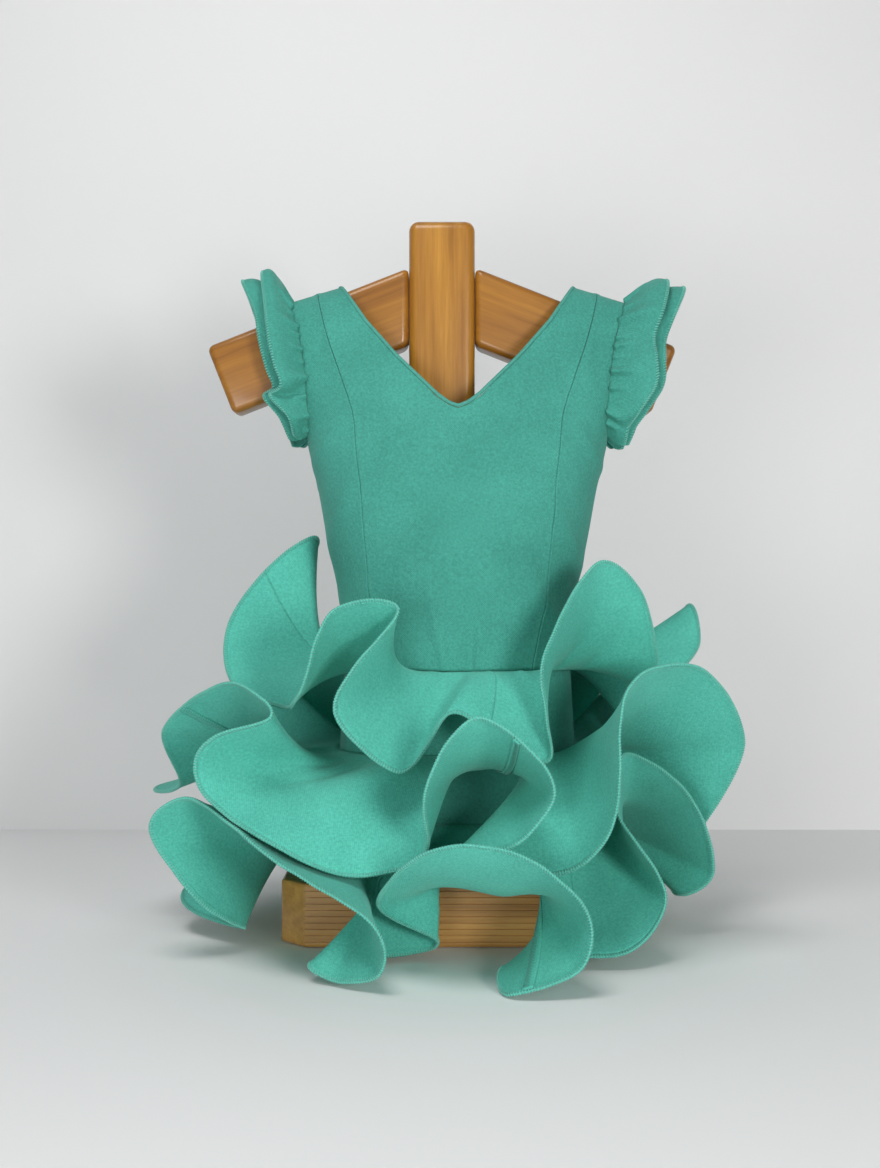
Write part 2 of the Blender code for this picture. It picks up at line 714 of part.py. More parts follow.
def closed_tube(name, columns, sides, line, radius, colour):
    """A round cord along a closed line."""
    steps = np.linalg.norm(np.diff(line, axis=0), axis=1)
    walk = np.concatenate([[0.0], np.cumsum(steps)])
    walk = walk / walk[-1]
    heart = line.mean(axis=0)

    def spot(share):
        return np.array([np.interp(share % 1.0, walk, line[:, i]) for i in range(3)])

    bm = bmesh.new()
    bmesh.ops.create_grid(bm, x_segments=columns, y_segments=sides, size=0.5)
    for point in bm.verts:
        share = point.co.x + 0.5
        turn = (point.co.y + 0.5) * 2 * math.pi
        middle = spot(share)
        along = spot(share + 0.004) - spot(share - 0.004)
        along = along / np.linalg.norm(along)
        first = np.cross(along, middle - heart)
        first = first / np.linalg.norm(first)
        second = np.cross(along, first)
        place = middle + radius * (math.cos(turn) * first + math.sin(turn) * second)
        point.co = (place[0] * MM, place[1] * MM, place[2] * MM)
    return add_node(name, finish_mesh(name, bm, join=0.02), colour, 0.8)


closed_tube("neck_binding", 56, 5, neck_line(), BINDING, TEAL)
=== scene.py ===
import math
from collections import namedtuple

import bmesh
import bpy
import numpy as np
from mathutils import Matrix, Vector


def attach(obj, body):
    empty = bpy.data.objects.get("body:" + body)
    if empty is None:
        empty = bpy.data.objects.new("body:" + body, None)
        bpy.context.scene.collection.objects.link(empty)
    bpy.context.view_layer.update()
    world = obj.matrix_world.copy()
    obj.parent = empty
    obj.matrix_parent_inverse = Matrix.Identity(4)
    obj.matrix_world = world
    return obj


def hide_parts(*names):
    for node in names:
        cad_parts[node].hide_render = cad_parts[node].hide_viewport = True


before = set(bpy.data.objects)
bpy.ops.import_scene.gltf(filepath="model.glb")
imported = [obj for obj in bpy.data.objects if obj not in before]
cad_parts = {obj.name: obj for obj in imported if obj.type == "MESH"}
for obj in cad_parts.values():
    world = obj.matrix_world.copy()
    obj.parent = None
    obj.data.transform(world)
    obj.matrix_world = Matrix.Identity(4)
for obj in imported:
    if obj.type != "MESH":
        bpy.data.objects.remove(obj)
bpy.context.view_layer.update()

# Camera: level, about a metre in front of the dress and at the height of its hip seam, with the
# shop's long lens. The photograph is taken to be 880 by 1168, so the lens counts on the tall side.
EYE = (-0.0014, -1.060, 0.247)
LENS = 45.3

lens = bpy.data.cameras.new("camera")
lens.lens = LENS
lens.sensor_width = 36.0
camera = bpy.data.objects.new("camera", lens)
camera.location = EYE
camera.rotation_euler = (math.radians(90.0), 0.0, 0.0)
bpy.context.scene.collection.objects.link(camera)
bpy.context.scene.camera = camera
bpy.context.scene.view_settings.view_transform = "Standard"


# Stand base: a heavy block of pine whose front is scored with fine grooves, its front corners sawn
# off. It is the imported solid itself, stained a little darker than the post and varnished thinly.
BASE_DARK = (0.340, 0.150, 0.028, 1.0)
BASE_LIGHT = (0.690, 0.370, 0.090, 1.0)


def new_group(name, inputs, outputs):
    """An empty effect with named sockets, each given as its name and kind."""
    group = bpy.data.node_groups.new(name, "ShaderNodeTree")
    for title, kind, value in inputs:
        socket = group.interface.new_socket(title, in_out="INPUT", socket_type=kind)
        if value is not None:
            socket.default_value = value
    for title, kind in outputs:
        group.interface.new_socket(title, in_out="OUTPUT", socket_type=kind)
    return group


def node(tree, kind, **settings):
    """A shader node with its settings, and its inputs where a setting is called in_NAME."""
    made = tree.nodes.new(kind)
    for key, value in settings.items():
        if key.startswith("in_"):
            made.inputs[key[3:].replace("_", " ")].default_value = value
        else:
            setattr(made, key, value)
    return made


def board_grain():
    """Straight pine grain: wide soft stripes, fine pores and the swirl of a growth ring."""
    group = new_group(
        "board grain",
        [("Along", "NodeSocketVector", None), ("Stripes", "NodeSocketFloat", 26.0)],
        [("Stripe", "NodeSocketFloat"), ("Pore", "NodeSocketFloat"), ("Height", "NodeSocketFloat")])
    start = node(group, "NodeGroupInput")
    end = node(group, "NodeGroupOutput")
    link = group.links.new
    long = node(group, "ShaderNodeMapping")
    long.inputs["Scale"].default_value = (1.0, 1.0, 0.045)
    link(start.outputs["Along"], long.inputs["Vector"])
    stripe = node(group, "ShaderNodeTexNoise", in_Detail=3.0, in_Roughness=0.55, in_Distortion=0.35)
    link(long.outputs["Vector"], stripe.inputs["Vector"])
    link(start.outputs["Stripes"], stripe.inputs["Scale"])
    ring = node(group, "ShaderNodeTexNoise", in_Scale=190.0, in_Detail=2.0, in_Roughness=0.5)
    link(long.outputs["Vector"], ring.inputs["Vector"])
    blend = node(group, "ShaderNodeMix", data_type="FLOAT")
    blend.inputs[0].default_value = 0.35
    link(stripe.outputs["Fac"], blend.inputs[2])
    link(ring.outputs["Fac"], blend.inputs[3])
    pore = node(group, "ShaderNodeTexNoise", in_Scale=900.0, in_Detail=2.0, in_Roughness=0.6)
    link(long.outputs["Vector"], pore.inputs["Vector"])
    lift = node(group, "ShaderNodeMath", operation="MULTIPLY")
    link(pore.outputs["Fac"], lift.inputs[0])
    link(blend.outputs[0], lift.inputs[1])
    link(blend.outputs[0], end.inputs["Stripe"])
    link(pore.outputs["Fac"], end.inputs["Pore"])
    link(lift.outputs[0], end.inputs["Height"])
    return group


GRAIN = board_grain()


def varnished_pine(name, dark, light, turn=(0.0, 0.0, 0.0), stripes=26.0, coat=0.35, stretch=0.12):
    """Pine under clear varnish, its grain running along Z after the turn."""
    look = bpy.data.materials.new(name)
    look.use_nodes = True
    tree = look.node_tree
    link = tree.links.new
    shader = tree.nodes["Principled BSDF"]
    place = node(tree, "ShaderNodeTexCoord")
    turned = node(tree, "ShaderNodeMapping")
    turned.inputs["Rotation"].default_value = turn
    link(place.outputs["Object"], turned.inputs["Vector"])
    grain = node(tree, "ShaderNodeGroup", node_tree=GRAIN)
    grain.inputs["Stripes"].default_value = stripes
    link(turned.outputs["Vector"], grain.inputs["Along"])
    tint = node(tree, "ShaderNodeValToRGB")
    tint.color_ramp.elements[0].position = 0.30
    tint.color_ramp.elements[0].color = dark
    tint.color_ramp.elements[1].position = 0.66
    tint.color_ramp.elements[1].color = light
    link(grain.outputs["Stripe"], tint.inputs["Fac"])
    fleck = node(tree, "ShaderNodeMix", data_type="RGBA", blend_type="MULTIPLY")
    fleck.inputs[0].default_value = 0.35
    link(tint.outputs["Color"], fleck.inputs[6])
    link(grain.outputs["Pore"], fleck.inputs[7])
    link(fleck.outputs[2], shader.inputs["Base Color"])
    dull = node(tree, "ShaderNodeMapRange", in_To_Min=0.34, in_To_Max=0.50)
    link(grain.outputs["Pore"], dull.inputs["Value"])
    link(dull.outputs["Result"], shader.inputs["Roughness"])
    bump = node(tree, "ShaderNodeBump", in_Strength=stretch, in_Distance=0.0004)
    link(grain.outputs["Height"], bump.inputs["Height"])
    link(bump.outputs["Normal"], shader.inputs["Normal"])
    shader.inputs["Coat Weight"].default_value = coat
    shader.inputs["Coat Roughness"].default_value = 0.14
    return look


base_look = varnished_pine("block_pine", BASE_DARK, BASE_LIGHT, turn=(0.0, math.radians(90.0), 0.0),
                           stripes=70.0, coat=0.25, stretch=0.3)
base = bpy.data.objects["stand_base"]
base.data.materials.clear()
base.data.materials.append(base_look)


# Stand post and arms: planed pine boards with rounded edges under glossy varnish. The post is screwed
# down on the block, and the two sloping arms, which the shoulders hang on, butt against its sides.
POST_SIZE = (0.047, 0.030)
POST_FOOT = 0.0433
POST_TOP = 0.506
POST_ROUND = 0.007
ARM_TALL = 0.052
ARM_THICK = 0.028
ARM_SLOPE = math.radians(21.5)
ARM_MIDDLE = 0.445
ARM_TIP = 0.168
ARM_ROUND = 0.005
PINE_DARK = (0.310, 0.115, 0.008, 1.0)
PINE_LIGHT = (0.570, 0.265, 0.030, 1.0)
# The arms' pine is the post's pine painted about a fifth darker: painted shade on the arms.
ARM_SHADED_DARK = (0.235, 0.080, 0.006, 1.0)
ARM_SHADED_LIGHT = (0.450, 0.190, 0.018, 1.0)


def board(name, corners, rounding, look, node_name):
    """A board from its eight corners, with its edges rounded over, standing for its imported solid."""
    bm = bmesh.new()
    bmesh.ops.create_cube(bm, size=2.0)
    for point in bm.verts:
        point.co = corners(point.co.x > 0, point.co.y > 0, point.co.z > 0)
    bm.normal_update()
    bmesh.ops.recalc_face_normals(bm, faces=bm.faces)
    bmesh.ops.subdivide_edges(bm, edges=[e for e in bm.edges if e.calc_length() > 0.1], cuts=5,
                              use_grid_fill=True)
    sharp = [e for e in bm.edges if e.calc_face_angle(0.0) > 0.5]
    bmesh.ops.bevel(bm, geom=sharp, offset=rounding, segments=6, profile=0.5, affect="EDGES", material=-1)
    mesh = bpy.data.meshes.new(name)
    bm.to_mesh(mesh)
    bm.free()
    mesh.shade_smooth()
    mesh.set_sharp_from_angle(angle=math.radians(35.0))
    made = bpy.data.objects.new(name, mesh)
    bpy.context.scene.collection.objects.link(made)
    made.data.materials.append(look)
    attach(made, "root")
    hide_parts(node_name)
    return made


def post_corner(right, far, high):
    return ((1 if right else -1) * POST_SIZE[0] / 2, (1 if far else -1) * POST_SIZE[1] / 2,
            POST_TOP if high else POST_FOOT)


def arm_corner(side):
    def corner(right, far, high):
        y = (1 if far else -1) * ARM_THICK / 2
        up = 1 if high else -1
        if right != (side > 0):
            x = POST_SIZE[0] / 2 + 0.0003
            z = ARM_MIDDLE + up * ARM_TALL / 2 / math.cos(ARM_SLOPE)
        else:
            middle = ARM_TIP - ARM_TALL / 2 * math.sin(ARM_SLOPE)
            x = middle + up * ARM_TALL / 2 * math.sin(ARM_SLOPE)
            z = (ARM_MIDDLE - (middle - POST_SIZE[0] / 2 - 0.0003) * math.tan(ARM_SLOPE)
                 + up * ARM_TALL / 2 * math.cos(ARM_SLOPE))
        return (side * x, y, z)
    return corner


board("post_board", post_corner, POST_ROUND, varnished_pine("post_pine", PINE_DARK, PINE_LIGHT, stripes=75.0),
      "stand_post")
for side, word in ((-1, "left"), (1, "right")):
    lean = math.radians(90.0) - side * ARM_SLOPE
    # Each arm gets the darker pine, which is painted shade.
    look = varnished_pine("arm_shaded_pine_" + word, ARM_SHADED_DARK, ARM_SHADED_LIGHT, turn=(0.0, lean, 0.0), stripes=75.0)
    board("arm_board_" + word, arm_corner(side), ARM_ROUND, look, "stand_arm_" + word)


# Bodice: three front and two back panels of teal crepe, sewn right sides together along princess,
# side and shoulder seams, and left open at the neck and armholes. It hangs hollow from the arms.
MM = 0.001
WALL = 1.2
SEAM_GAP = 0.3
DRESS_MIDDLE = 11.0
HIP = 187.0
SHOULDER_TOP = 460.0
SHOULDER_DROP = 0.30
SHOULDER_ROUNDING = 26.0
NECK_REACH = 83.0
ROUNDNESS = 2.4
TEAL = (0.070, 0.365, 0.292, 1.0)
TEAL_DEEP = (0.034, 0.215, 0.170, 1.0)

Section = namedtuple("Section", "up half front back princess armhole")
BODICE = [
    Section(187, 81, 60, 60, 50, 81),
    Section(235, 84, 61, 56, 59, 84),
    Section(280, 93, 63, 56, 64, 93),
    Section(318, 100, 63, 55, 67, 100),
    Section(343, 106, 60, 52, 70, 106),
    Section(363, 111, 55, 47, 72, 105),
    Section(391, 119, 46, 40, 81, 107),
    Section(420, 131, 36, 33, 91, 111),
    Section(446, 150, 26, 26, 98, 119),
    Section(470, 162, 25, 25, 103, 124),
]
Neck = namedtuple("Neck", "up half")
FRONT_NECK = [Neck(367.5, 0), Neck(370, 7), Neck(376, 15), Neck(391, 30), Neck(405, 44),
              Neck(431, 66), Neck(466, 89)]
BACK_NECK = [Neck(328, 0), Neck(331, 7), Neck(338, 15), Neck(362, 34), Neck(396, 56),
             Neck(430, 72), Neck(466, 89)]

# Soft dents of the hanging cloth: where across and up, how wide and tall, how far they lean over, and
# how deep they go. A figure less than nothing is a ridge.
Dent = namedtuple("Dent", "across up wide tall lean deep")
FRONT_DENTS = [
    Dent(-14, 214, 4.5, 34, -0.18, 2.2),
    Dent(-10, 196, 2.4, 10, 0.00, 1.3),
    Dent(-2, 195, 2.2, 9, 0.00, 1.2),
    Dent(8, 200, 3.0, 20, 0.05, 2.0),
    Dent(9, 194, 2.0, 8, 0.00, 0.9),
    Dent(27, 218, 7.0, 34, -0.25, 1.4),
    Dent(-38, 222, 7.0, 34, 0.20, 1.3),
    Dent(-58, 246, 7.0, 34, 0.55, 2.0),
    Dent(60, 232, 8.0, 40, -0.60, 2.6),
    Dent(74, 285, 6.0, 30, -0.50, 1.8),
    Dent(-80, 300, 6.0, 34, 0.35, 1.6),
    Dent(-92, 345, 5.0, 18, 0.60, 1.4),
    Dent(94, 340, 5.0, 20, -0.70, 1.6),
    Dent(-34, 352, 9.0, 34, 0.70, -0.9),
    Dent(40, 348, 9.0, 36, -0.75, -0.9),
    Dent(0, 300, 22.0, 60, 0.0, -1.0),
    Dent(-90, 415, 4.0, 22, -0.20, 1.0),
    Dent(93, 412, 4.0, 22, 0.20, 1.0),
]
BACK_DENTS = [
    Dent(-30, 225, 7.0, 30, 0.30, 1.6),
    Dent(34, 232, 8.0, 34, -0.35, 1.7),
    Dent(-8, 206, 4.0, 18, 0.10, 1.2),
    Dent(62, 262, 7.0, 34, -0.50, 1.8),
    Dent(-66, 270, 7.0, 36, 0.50, 1.7),
    Dent(-44, 310, 9.0, 30, 0.65, -1.1),
    Dent(50, 314, 9.0, 30, -0.65, -1.1),
    Dent(86, 338, 5.0, 20, -0.55, 1.4),
    Dent(-88, 336, 5.0, 20, 0.55, 1.4),
]


def smooth(rows, at):
    """A row's other columns where its first column has the value asked, on a smooth curve."""
    table = np.array(rows, dtype=float)
    keys = table[:, 0]
    span = np.diff(keys)
    slope = np.diff(table[:, 1:], axis=0) / span[:, None]
    tangent = np.zeros_like(table[:, 1:])
    tangent[0] = slope[0]
    tangent[-1] = slope[-1]
    before = span[:-1, None]
    after = span[1:, None]
    tangent[1:-1] = (slope[:-1] * after + slope[1:] * before) / (before + after)
    place = np.clip(np.atleast_1d(np.asarray(at, dtype=float)), keys[0], keys[-1])
    i = np.clip(np.searchsorted(keys, place) - 1, 0, len(span) - 1)
    t = ((place - keys[i]) / span[i])[:, None]
    h = span[i][:, None]
    return ((2 * t ** 3 - 3 * t ** 2 + 1) * table[i, 1:]
            + (t ** 3 - 2 * t ** 2 + t) * h * tangent[i]
            + (-2 * t ** 3 + 3 * t ** 2) * table[i + 1, 1:]
            + (t ** 3 - t ** 2) * h * tangent[i + 1])


def crepe_weave():
    """Crepe up close: a pebbled face, crossing threads, and slow patches of more and less dye."""
    group = new_group(
        "crepe weave",
        [("Place", "NodeSocketVector", None), ("Flat", "NodeSocketVector", None),
         ("Pitch", "NodeSocketFloat", 0.0015)],
        [("Pebble", "NodeSocketFloat"), ("Patch", "NodeSocketFloat"), ("Thread", "NodeSocketFloat"),
         ("Height", "NodeSocketFloat")])
    start = node(group, "NodeGroupInput")
    end = node(group, "NodeGroupOutput")
    link = group.links.new
    pebble = node(group, "ShaderNodeTexNoise", in_Scale=620.0, in_Detail=3.0, in_Roughness=0.65)
    link(start.outputs["Place"], pebble.inputs["Vector"])
    patch = node(group, "ShaderNodeTexNoise", in_Scale=18.0, in_Detail=2.0, in_Roughness=0.5)
    link(start.outputs["Place"], patch.inputs["Vector"])
    sway = node(group, "ShaderNodeTexNoise", in_Scale=90.0, in_Detail=1.0)
    link(start.outputs["Place"], sway.inputs["Vector"])
    small = node(group, "ShaderNodeVectorMath", operation="SCALE")
    small.inputs["Scale"].default_value = 0.0014
    link(sway.outputs["Color"], small.inputs[0])
    moved = node(group, "ShaderNodeVectorMath", operation="ADD")
    link(start.outputs["Flat"], moved.inputs[0])
    link(small.outputs["Vector"], moved.inputs[1])
    count = node(group, "ShaderNodeMath", operation="DIVIDE")
    count.inputs[0].default_value = 2 * math.pi
    link(start.outputs["Pitch"], count.inputs[1])
    turns = node(group, "ShaderNodeVectorMath", operation="SCALE")
    link(moved.outputs["Vector"], turns.inputs[0])
    link(count.outputs[0], turns.inputs["Scale"])
    split = node(group, "ShaderNodeSeparateXYZ")
    link(turns.outputs["Vector"], split.inputs[0])
    waves = []
    for way in ("X", "Y"):
        wave = node(group, "ShaderNodeMath", operation="SINE")
        link(split.outputs[way], wave.inputs[0])
        waves.append(wave)
    cross = node(group, "ShaderNodeMath", operation="MULTIPLY")
    link(waves[0].outputs[0], cross.inputs[0])
    link(waves[1].outputs[0], cross.inputs[1])
    raised = node(group, "ShaderNodeMath", operation="MULTIPLY_ADD")
    raised.inputs[1].default_value = 0.30
    link(cross.outputs[0], raised.inputs[0])
    link(pebble.outputs["Fac"], raised.inputs[2])
    link(pebble.outputs["Fac"], end.inputs["Pebble"])
    link(patch.outputs["Fac"], end.inputs["Patch"])
    link(cross.outputs[0], end.inputs["Thread"])
    link(raised.outputs[0], end.inputs["Height"])
    return group


CREPE = crepe_weave()


def crepe(name, colour, deep, bump_strength=0.7, sheen=0.18):
    """Matt teal crepe with a soft bloom."""
    look = bpy.data.materials.new(name)
    look.use_nodes = True
    tree = look.node_tree
    link = tree.links.new
    shader = tree.nodes["Principled BSDF"]
    place = node(tree, "ShaderNodeTexCoord")
    flat = node(tree, "ShaderNodeUVMap", uv_map="cloth")
    weave = node(tree, "ShaderNodeGroup", node_tree=CREPE)
    link(place.outputs["Object"], weave.inputs["Place"])
    link(flat.outputs["UV"], weave.inputs["Flat"])
    worn = node(tree, "ShaderNodeMapRange", in_From_Min=0.3, in_From_Max=0.7, in_To_Min=0.30, in_To_Max=0.70)
    link(weave.outputs["Patch"], worn.inputs["Value"])
    fine = node(tree, "ShaderNodeMapRange", in_From_Min=0.25, in_From_Max=0.75, in_To_Min=-0.45,
                in_To_Max=0.45)
    link(weave.outputs["Pebble"], fine.inputs["Value"])
    both = node(tree, "ShaderNodeMath", operation="ADD")
    link(worn.outputs["Result"], both.inputs[0])
    link(fine.outputs["Result"], both.inputs[1])
    woven = node(tree, "ShaderNodeMath", operation="MULTIPLY_ADD")
    woven.inputs[1].default_value = 0.22
    link(weave.outputs["Thread"], woven.inputs[0])
    link(both.outputs[0], woven.inputs[2])
    tint = node(tree, "ShaderNodeMix", data_type="RGBA")
    tint.inputs[6].default_value = deep
    tint.inputs[7].default_value = colour
    link(woven.outputs[0], tint.inputs[0])
    link(tint.outputs[2], shader.inputs["Base Color"])
    rough = node(tree, "ShaderNodeMapRange", in_To_Min=0.72, in_To_Max=0.92)
    link(weave.outputs["Pebble"], rough.inputs["Value"])
    link(rough.outputs["Result"], shader.inputs["Roughness"])
    bump = node(tree, "ShaderNodeBump", in_Strength=bump_strength, in_Distance=0.0003)
    link(weave.outputs["Height"], bump.inputs["Height"])
    link(bump.outputs["Normal"], shader.inputs["Normal"])
    shader.inputs["Specular IOR Level"].default_value = 0.22
    shader.inputs["Sheen Weight"].default_value = sheen
    shader.inputs["Sheen Roughness"].default_value = 0.45
    shader.inputs["Sheen Tint"].default_value = (0.55, 0.95, 0.86, 1.0)
    return look


def points_of(columns, rows, place, relief=None):
    """The points of a sheet, by row from its lower edge, with a relief pressed into its face."""
    points = np.array([[place(i / columns, j / rows) for i in range(columns + 1)] for j in range(rows + 1)])
    if relief is None:
        return points
    across = np.gradient(points, axis=1)
    along = np.gradient(points, axis=0)
    face = np.cross(across, along)
    face = face / np.maximum(np.linalg.norm(face, axis=2, keepdims=True), 1e-9)
    depth = np.array([[relief(i / columns, j / rows, points[j, i]) for i in range(columns + 1)]
                      for j in range(rows + 1)])
    return points + face * depth[:, :, None]


def laid_flat(points):
    """Where each point of a panel lies on the flat cloth, along and across the grain, in millimetres."""
    across = np.linalg.norm(np.diff(points, axis=1), axis=2)
    along = np.linalg.norm(np.diff(points, axis=0), axis=2)
    wide = np.concatenate([np.zeros((len(points), 1)), np.cumsum(across, axis=1)], axis=1)
    wide = wide - wide[:, wide.shape[1] // 2][:, None]
    tall = np.concatenate([np.zeros((1, points.shape[1])), np.cumsum(along, axis=0)], axis=0)
    return np.stack([wide, tall], axis=2)


def grid_mesh(name, points, flat=None, close=False):
    """A grid laid on the points given, with its place on the flat cloth kept as its texture map."""
    rows = points.shape[0] - 1
    columns = points.shape[1] - 1
    if flat is None:
        flat = laid_flat(points)
    bm = bmesh.new()
    sheet_map = bm.loops.layers.uv.new("cloth")
    bmesh.ops.create_grid(bm, x_segments=columns, y_segments=rows, size=0.5)
    for point in bm.verts:
        i = int(round((point.co.x + 0.5) * columns))
        j = int(round((point.co.y + 0.5) * rows))
        for corner in point.link_loops:
            corner[sheet_map].uv = (flat[j, i, 0] * MM, flat[j, i, 1] * MM)
        point.co = Vector(points[j, i]) * MM
    if close:
        bmesh.ops.remove_doubles(bm, verts=bm.verts, dist=0.00002)
    bm.normal_update()
    bmesh.ops.recalc_face_normals(bm, faces=bm.faces)
    mesh = bpy.data.meshes.new(name)
    bm.to_mesh(mesh)
    bm.free()
    mesh.shade_smooth()
    return mesh


def cloth_piece(name, points, look, node_name, flat=None, close=False, wall=WALL):
    """A thin shell of cloth on the points given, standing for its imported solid."""
    made = bpy.data.objects.new(name, grid_mesh(name, points, flat, close))
    bpy.context.scene.collection.objects.link(made)
    made.data.materials.append(look)
    thick = made.modifiers.new("cloth", "SOLIDIFY")
    thick.thickness = wall * MM
    thick.offset = 0.0
    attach(made, "root")
    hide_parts(node_name)
    return made


def surface(points):
    """The area of a grid of points, in square millimetres."""
    first = points[1:, :-1] - points[:-1, :-1]
    second = points[:-1, 1:] - points[:-1, :-1]
    cells = (first ** 2).sum(axis=2) * (second ** 2).sum(axis=2) - (first * second).sum(axis=2) ** 2
    return float(np.sqrt(np.maximum(cells, 0.0)).sum())


def cut_size(points, flat=None):
    """A piece's flat width and length and its flat area, in metres."""
    if flat is None:
        flat = laid_flat(points)
    size = (flat.reshape(-1, 2).max(axis=0) - flat.reshape(-1, 2).min(axis=0)) * MM
    return (float(size[0]), float(size[1])), min(surface(points) * MM * MM, float(size[0] * size[1]))


def section(up):
    """The bodice's section at a height."""
    return Section(up, *smooth(BODICE, up)[0])


def shoulder_up(half):
    """Height of the shoulder seam at a distance from the middle line."""
    return SHOULDER_TOP - SHOULDER_DROP * max(half - NECK_REACH, 0.0)


def neck_half(rows, up):
    """Half the width of the neck's V at a height."""
    if up <= rows[0].up:
        return 0.0
    return float(np.interp(up, [row.up for row in rows], [row.half for row in rows]))


def body_point(half, up, front):
    """A point of the bodice at a distance from its middle line and a height."""
    here = section(up)
    close = min(max((shoulder_up(abs(half)) - up) / SHOULDER_ROUNDING, 0.0), 1.0)
    depth = (here.front if front else here.back) * math.sqrt(1.0 - (1.0 - close) ** 2)
    share = min(abs(half) / here.half, 1.0)
    back = max(depth * (1.0 - share ** ROUNDNESS) ** (1.0 / ROUNDNESS), 0.25)
    return (DRESS_MIDDLE + half, -back if front else back, up)


def princess(up):
    return section(up).princess


def armhole(up):
    return section(up).armhole


def top_of(share, edge, neck):
    """Height at which a line of the bodice meets the neck or the shoulder seam."""
    low, high = HIP, SHOULDER_TOP
    for _ in range(30):
        middle = (low + high) / 2
        half = abs(share) * edge(middle)
        if middle <= shoulder_up(half) and half >= neck_half(neck, middle):
            low = middle
        else:
            high = middle
    return low


def rise(share, top):
    """Height of a row: even steps up to the shoulder's rounding, then closer ones round it."""
    start = HIP + SEAM_GAP + WALL / 2
    turn = top - SHOULDER_ROUNDING
    if share <= 0.7:
        return start + share / 0.7 * (turn - start)
    return turn + SHOULDER_ROUNDING * math.sin((share - 0.7) / 0.3 * math.pi / 2)


def spread(across, neck, edge, low_end, round_end):
    """Where a column lies: even steps along the V, closer ones round the shoulder, then to the edge."""
    turn = SHOULDER_TOP - SHOULDER_ROUNDING
    if across < low_end:
        return neck_half(neck, turn) / edge(turn) * across / low_end
    if across < round_end:
        up = turn + SHOULDER_ROUNDING * math.sin((across - low_end) / (round_end - low_end) * math.pi / 2)
        return neck_half(neck, up) / edge(up)
    corner = neck_half(neck, SHOULDER_TOP) / edge(SHOULDER_TOP)
    return corner + (1.0 - corner) * math.sin((across - round_end) / (1.0 - round_end) * math.pi / 2)


tops = {}


def known_top(key, share, edge, neck):
    if key not in tops:
        tops[key] = top_of(share, edge, neck)
    return tops[key]


def front_centre(across, along):
    side = 1 if across > 0.5 else -1
    share = side * spread(abs(across * 2 - 1), FRONT_NECK, princess, 0.6, 0.88)
    top = known_top(("front", across), share, princess, FRONT_NECK)
    up = rise(along, top)
    return body_point(share * (princess(up) - SEAM_GAP / 2), up, True)


def front_side(side):
    def place(across, along):
        share = math.sin(across * math.pi / 2)

        def edge(up):
            return princess(up) + share * (armhole(up) - princess(up))
        top = known_top(("side", across), 1.0, edge, FRONT_NECK)
        up = rise(along, top)
        inner = princess(up) + SEAM_GAP / 2
        return body_point(side * (inner + share * (armhole(up) - inner)), up, True)
    return place


def back_side(side):
    def place(across, along):
        share = spread(across, BACK_NECK, armhole, 0.5, 0.72)
        top = known_top(("back", across), share, armhole, BACK_NECK)
        up = rise(along, top)
        inner = SEAM_GAP / 2
        return body_point(side * (inner + share * (armhole(up) - inner)), up, False)
    return place


PUCKER_WIDE = 2.2


def dents(rows, seams):
    """Relief of a panel: its dents, and the small puckers along the seams it is sewn by."""
    def relief(across, along, point):
        x = point[0] - DRESS_MIDDLE
        up = point[2]
        depth = 0.0
        for row in rows:
            sideways = x - row.across - row.lean * (up - row.up)
            depth += row.deep * math.exp(-(sideways / row.wide) ** 2 - ((up - row.up) / row.tall) ** 2)
        for seam, pull in seams:
            away = abs(abs(x) - seam(up))
            pucker = 0.6 + 0.4 * math.sin(up * 0.83 + 1.7 * math.sin(up * 0.21))
            depth += pull * math.exp(-(away / PUCKER_WIDE) ** 2) * pucker
        return depth
    return relief


bodice_look = crepe("bodice_crepe", TEAL, TEAL_DEEP)
front_relief = dents(FRONT_DENTS, [(princess, 0.7)])
back_relief = dents(BACK_DENTS, [(lambda up: 0.0, 0.8)])


def face_in(relief, sign):
    return lambda across, along, point: sign * relief(across, along, point)


PANEL_ROWS = 110
for name, columns, place, relief, node_name in (
        ("front_panel", 96, front_centre, face_in(front_relief, 1), "bodice_front_centre"),
        ("side_front_left", 34, front_side(-1), face_in(front_relief, -1), "bodice_front_left"),
        ("side_front_right", 34, front_side(1), face_in(front_relief, 1), "bodice_front_right"),
        ("back_panel_left", 54, back_side(-1), face_in(back_relief, 1), "bodice_back_left"),
        ("back_panel_right", 54, back_side(1), face_in(back_relief, -1), "bodice_back_right")):
    points = points_of(columns, PANEL_ROWS, place, relief)
    panel = cloth_piece(name, points, bodice_look, node_name)
    size, area = cut_size(points)


# Neck binding: a narrow strip of the same crepe cut on the bias, rolled over the raw edge of the neck
# all the way round and caught down from inside, so that it stands a little proud like a cord.
BINDING = 1.35
BINDING_OFF = 1.5
BINDING_STEPS = 420
BINDING_SIDES = 12
BINDING_TEAL = (0.085, 0.36, 0.295, 1.0)
BINDING_DEEP = (0.05, 0.25, 0.20, 1.0)


def neck_line():
    """The binding's middle line: down the front V, up again, over the shoulder and round the back V."""
    line = []
    for side, rows, front in ((1, FRONT_NECK, True), (-1, FRONT_NECK, True),
                              (-1, BACK_NECK, False), (1, BACK_NECK, False)):
        part = []
        tip = rows[0].up
        for step in range(49):
            up = tip + (SHOULDER_TOP + 0.5 - tip) * math.sin(step / 48 * math.pi / 2)
            half = neck_half(rows, up)
            slope = (neck_half(rows, up + 1.5) - neck_half(rows, up - 1.5)) / 3
            bend = math.hypot(1.0, slope)
            inward = min(BINDING_OFF / bend, half)
            lift = BINDING_OFF * slope / bend
            if half - inward < 3.0:
                lift = BINDING_OFF
            at = min(up + lift, SHOULDER_TOP + 0.6)
            x, y, _ = body_point(side * (half - inward), min(at, SHOULDER_TOP), front)
            y += -0.5 if front else 0.5
            part.append((x, y, at))
        if (side > 0) == front:
            part = part[::-1]
        line += part if not line else part[1:]
    return np.array(line)


